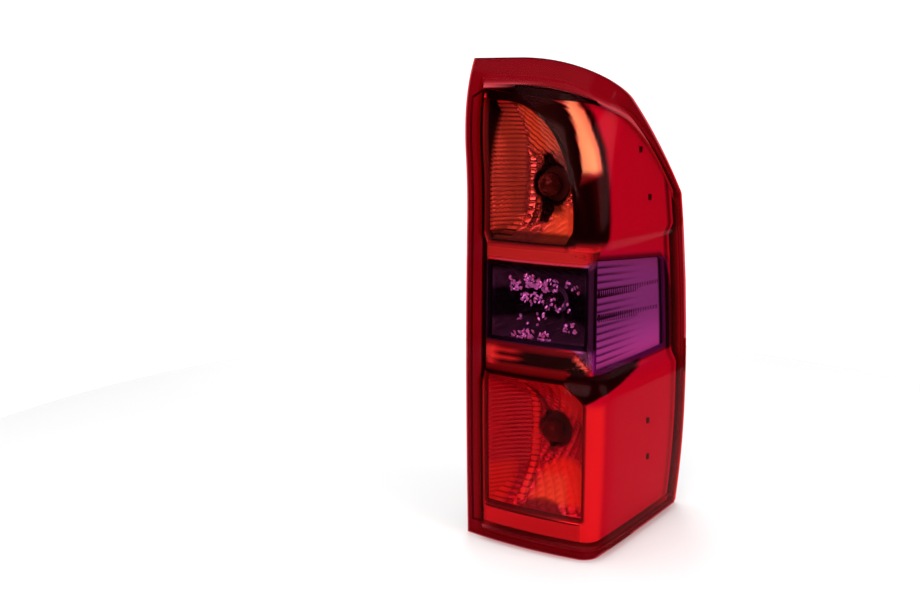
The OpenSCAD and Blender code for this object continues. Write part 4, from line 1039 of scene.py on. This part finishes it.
# %% Ticks on the ribbed panel
TICK_SIZE, TICKS_IN_ROW = (1.2, 1.2, 8.0), 34
TICK_ROWS = ((276, 268), (252, 241))
tick_s = np.linspace(POST_S + 6, RUN_MID - WINDOW_END - 12, TICKS_IN_ROW)
ticks = []
for low, high in TICK_ROWS:
    z = low + (high - low) * (tick_s - tick_s[0]) / (tick_s[-1] - tick_s[0])
    ticks.append(skin(tick_s, z, face_at(z) - TRIM_GAP - TRIM_T - FIT - 0.6))
side_ticks = copies("side_ticks", np.concatenate(ticks), TICK_SIZE, 0.0, 3, dark_glass)

# %% [markdown]
# The photo shows the prisms as bright crumbs close behind the purple plastic, and not what they stand on. Here
# they sit on a thin clear plate in the mouth of the bowl, so that none hangs in the air. Each cluster is a
# centre and half the number of its prisms, and the fixed seed gives the same ones again.

# %% Prisms and the clear plate under them
PRISM_SIZE, CLUSTER_REACH = (3.0, 2.0, 4.8), 6.5
PLATE_T, PLATE_GRID = 1.2, (40, 30)
CLUSTERS = [(51, 279, 14), (69, 283, 18), (82, 280, 16), (96, 281, 6), (112, 281, 5), (54, 224, 9),
            (68, 227, 12), (84, 226, 12), (111, 240, 8), (64, 264, 8), (76, 266, 7), (90, 262, 4), (60, 246, 3),
            (82, 245, 3), (104, 258, 3)]


def plate_depth(z):
    return face_at(z) - TRIM_GAP - BEZEL - TRIM_T - 1.5


cluster_rng = np.random.default_rng(11)
spots = []
for cx, cz, count in CLUSTERS:
    offset = cluster_rng.uniform(-1, 1, (2 * count, 2)) * (CLUSTER_REACH, CLUSTER_REACH)
    x = np.clip(cx + offset[:, 0] - 0.25 * offset[:, 1], WINDOW_S0 + 6, WINDOW_S0 + MID_W - 6)
    z = np.clip(cz + offset[:, 1], MID_Z0 + 3, MID_Z1 - 6)
    spots.append(skin(x, z, plate_depth(z)))
plate_s, plate_z = np.meshgrid(np.linspace(WINDOW_S0 + 0.8, WINDOW_S0 + MID_W - 0.8, PLATE_GRID[0]),
                               np.linspace(MID_Z0 + 2.8, MID_Z1 - 2.8, PLATE_GRID[1]), indexing="ij")
plate_at = plate_depth(plate_z)
inner_plate = sheet("prism_plate", plate_s, plate_z, plate_at, plate_at - PLATE_T, plate_clear)
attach(inner_plate, "root")
prisms = copies("middle_prisms", np.concatenate(spots), PRISM_SIZE, 1.1, 7, prism_chrome, ball=True)

# %% Tabs on the side of the trim
TAB_SIZE = (3.5, 3.5, 6.0)
tab_s, tab_z = np.array([213, 235.5, 243.5, 247.0]), np.array([411, 362.5, 126.5, 84.5])
tabs = copies("panel_tabs", skin(tab_s, tab_z, face_at(tab_z) - TRIM_GAP + 0.2), TAB_SIZE, 0.0, 1, dark_glass)

# %% [markdown]
# The pieces at the back are plain mouldings and pressings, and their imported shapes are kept. They only need a
# finish: black and grey plastic, zinc-coated sheet, foam, rubber and the tan strip of the seal wall.

# %% Finish of the CAD nodes
FINISHES = [(chrome_soft, ["side_reflector"]),
            # The bulbs' dark glass is painted shade for the dark bulb holes.
            (dark_glass, ["upper_bulb", "middle_bulb", "lower_bulb", "side_bulb"]),
            (black_plastic, ["upper_holder", "lower_holder", "housing", "harness", "connector", "vent_caps"]),
            (grey_plastic, ["middle_holder", "side_holder"]),
            (ring_rubber, ["holder_seals"]), (tan_plastic, ["seal_backing"]), (foam, ["foam_seal"]),
            (steel, ["upper_bracket", "lower_bracket", "bracket_screws", "locating_pins"])]
for finish, nodes in FINISHES:
    for node in nodes:
        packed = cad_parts[node].data.materials
        packed.clear()
        packed.append(finish)
    print(finish.name, "on", len(nodes), "nodes")

# %% [markdown]
# The photo was taken on white. A pale matt floor catches a soft shadow, and the world is white to look at but
# lights the lamp only a little. Four square softboxes do the rest: gloss shows what it mirrors, so the places
# and sizes of these lights draw the highlights.


# %% Floor, backdrop and lights
def matte(name, color):
    made, v, out = new_material(name)
    base = v.node("ShaderNodeBsdfPrincipled", Base_Color=rgba(*color), Roughness=0.9)
    v.feed(out.inputs[0], base.outputs[0])
    return made


FLOOR_R, FLOOR_SIDES = 850.0, 96
FLOOR_X, FLOOR_Y = 70.0, 50.0
floor_turns = [2 * math.pi * k / FLOOR_SIDES for k in range(FLOOR_SIDES)]
floor_rim = [(FLOOR_X + FLOOR_R * math.cos(a), FLOOR_Y + FLOOR_R * math.sin(a), 0) for a in floor_turns]
floor = add_mesh("floor", floor_rim, [tuple(range(FLOOR_SIDES))], matte("pale_floor", (0.92, 0.92, 0.92)))


def area_light(name, at, target, size, power):
    data = bpy.data.lights.new(name, "AREA")
    data.size = size
    data.energy = power
    light = bpy.data.objects.new(name, data)
    light.location = at
    light.rotation_euler = (Vector(target) - Vector(at)).to_track_quat("-Z", "Y").to_euler()
    bpy.context.scene.collection.objects.link(light)


area_light("key_softbox", (0.45, -1.5, 1.05), (0.1, 0.05, 0.35), 1.0, 17)
area_light("side_softbox", (1.55, 0.25, 0.9), (0.15, 0.12, 0.25), 1.0, 15)
area_light("top_softbox", (-0.1, -0.1, 1.9), (0.07, 0.05, 0.2), 2.2, 34)
area_light("back_softbox", (-0.9, 1.3, 1.0), (0.05, 0.1, 0.25), 0.8, 8)


def studio(name, seen, lit):
    """A world that is white to look at and lights the lamp more softly."""
    world = bpy.data.worlds.new(name)
    world.use_nodes = True
    tree = world.node_tree
    tree.nodes.clear()
    v = Value(tree, None)
    path = v.node("ShaderNodeLightPath")
    plain = v.node("ShaderNodeBackground", Color=rgba(1, 1, 1), Strength=seen)
    soft = v.node("ShaderNodeBackground", Color=rgba(1, 1, 1), Strength=lit)
    mix = v.node("ShaderNodeMixShader", i0=path.outputs["Is Camera Ray"], i1=soft.outputs[0],
                 i2=plain.outputs[0])
    out = v.node("ShaderNodeOutputWorld", Surface=mix.outputs[0])
    bpy.context.scene.world = world


studio("studio", 1.2, 0.12)
print("floor", 2 * FLOOR_R * MM, "m across,", len(bpy.data.lights), "lights")
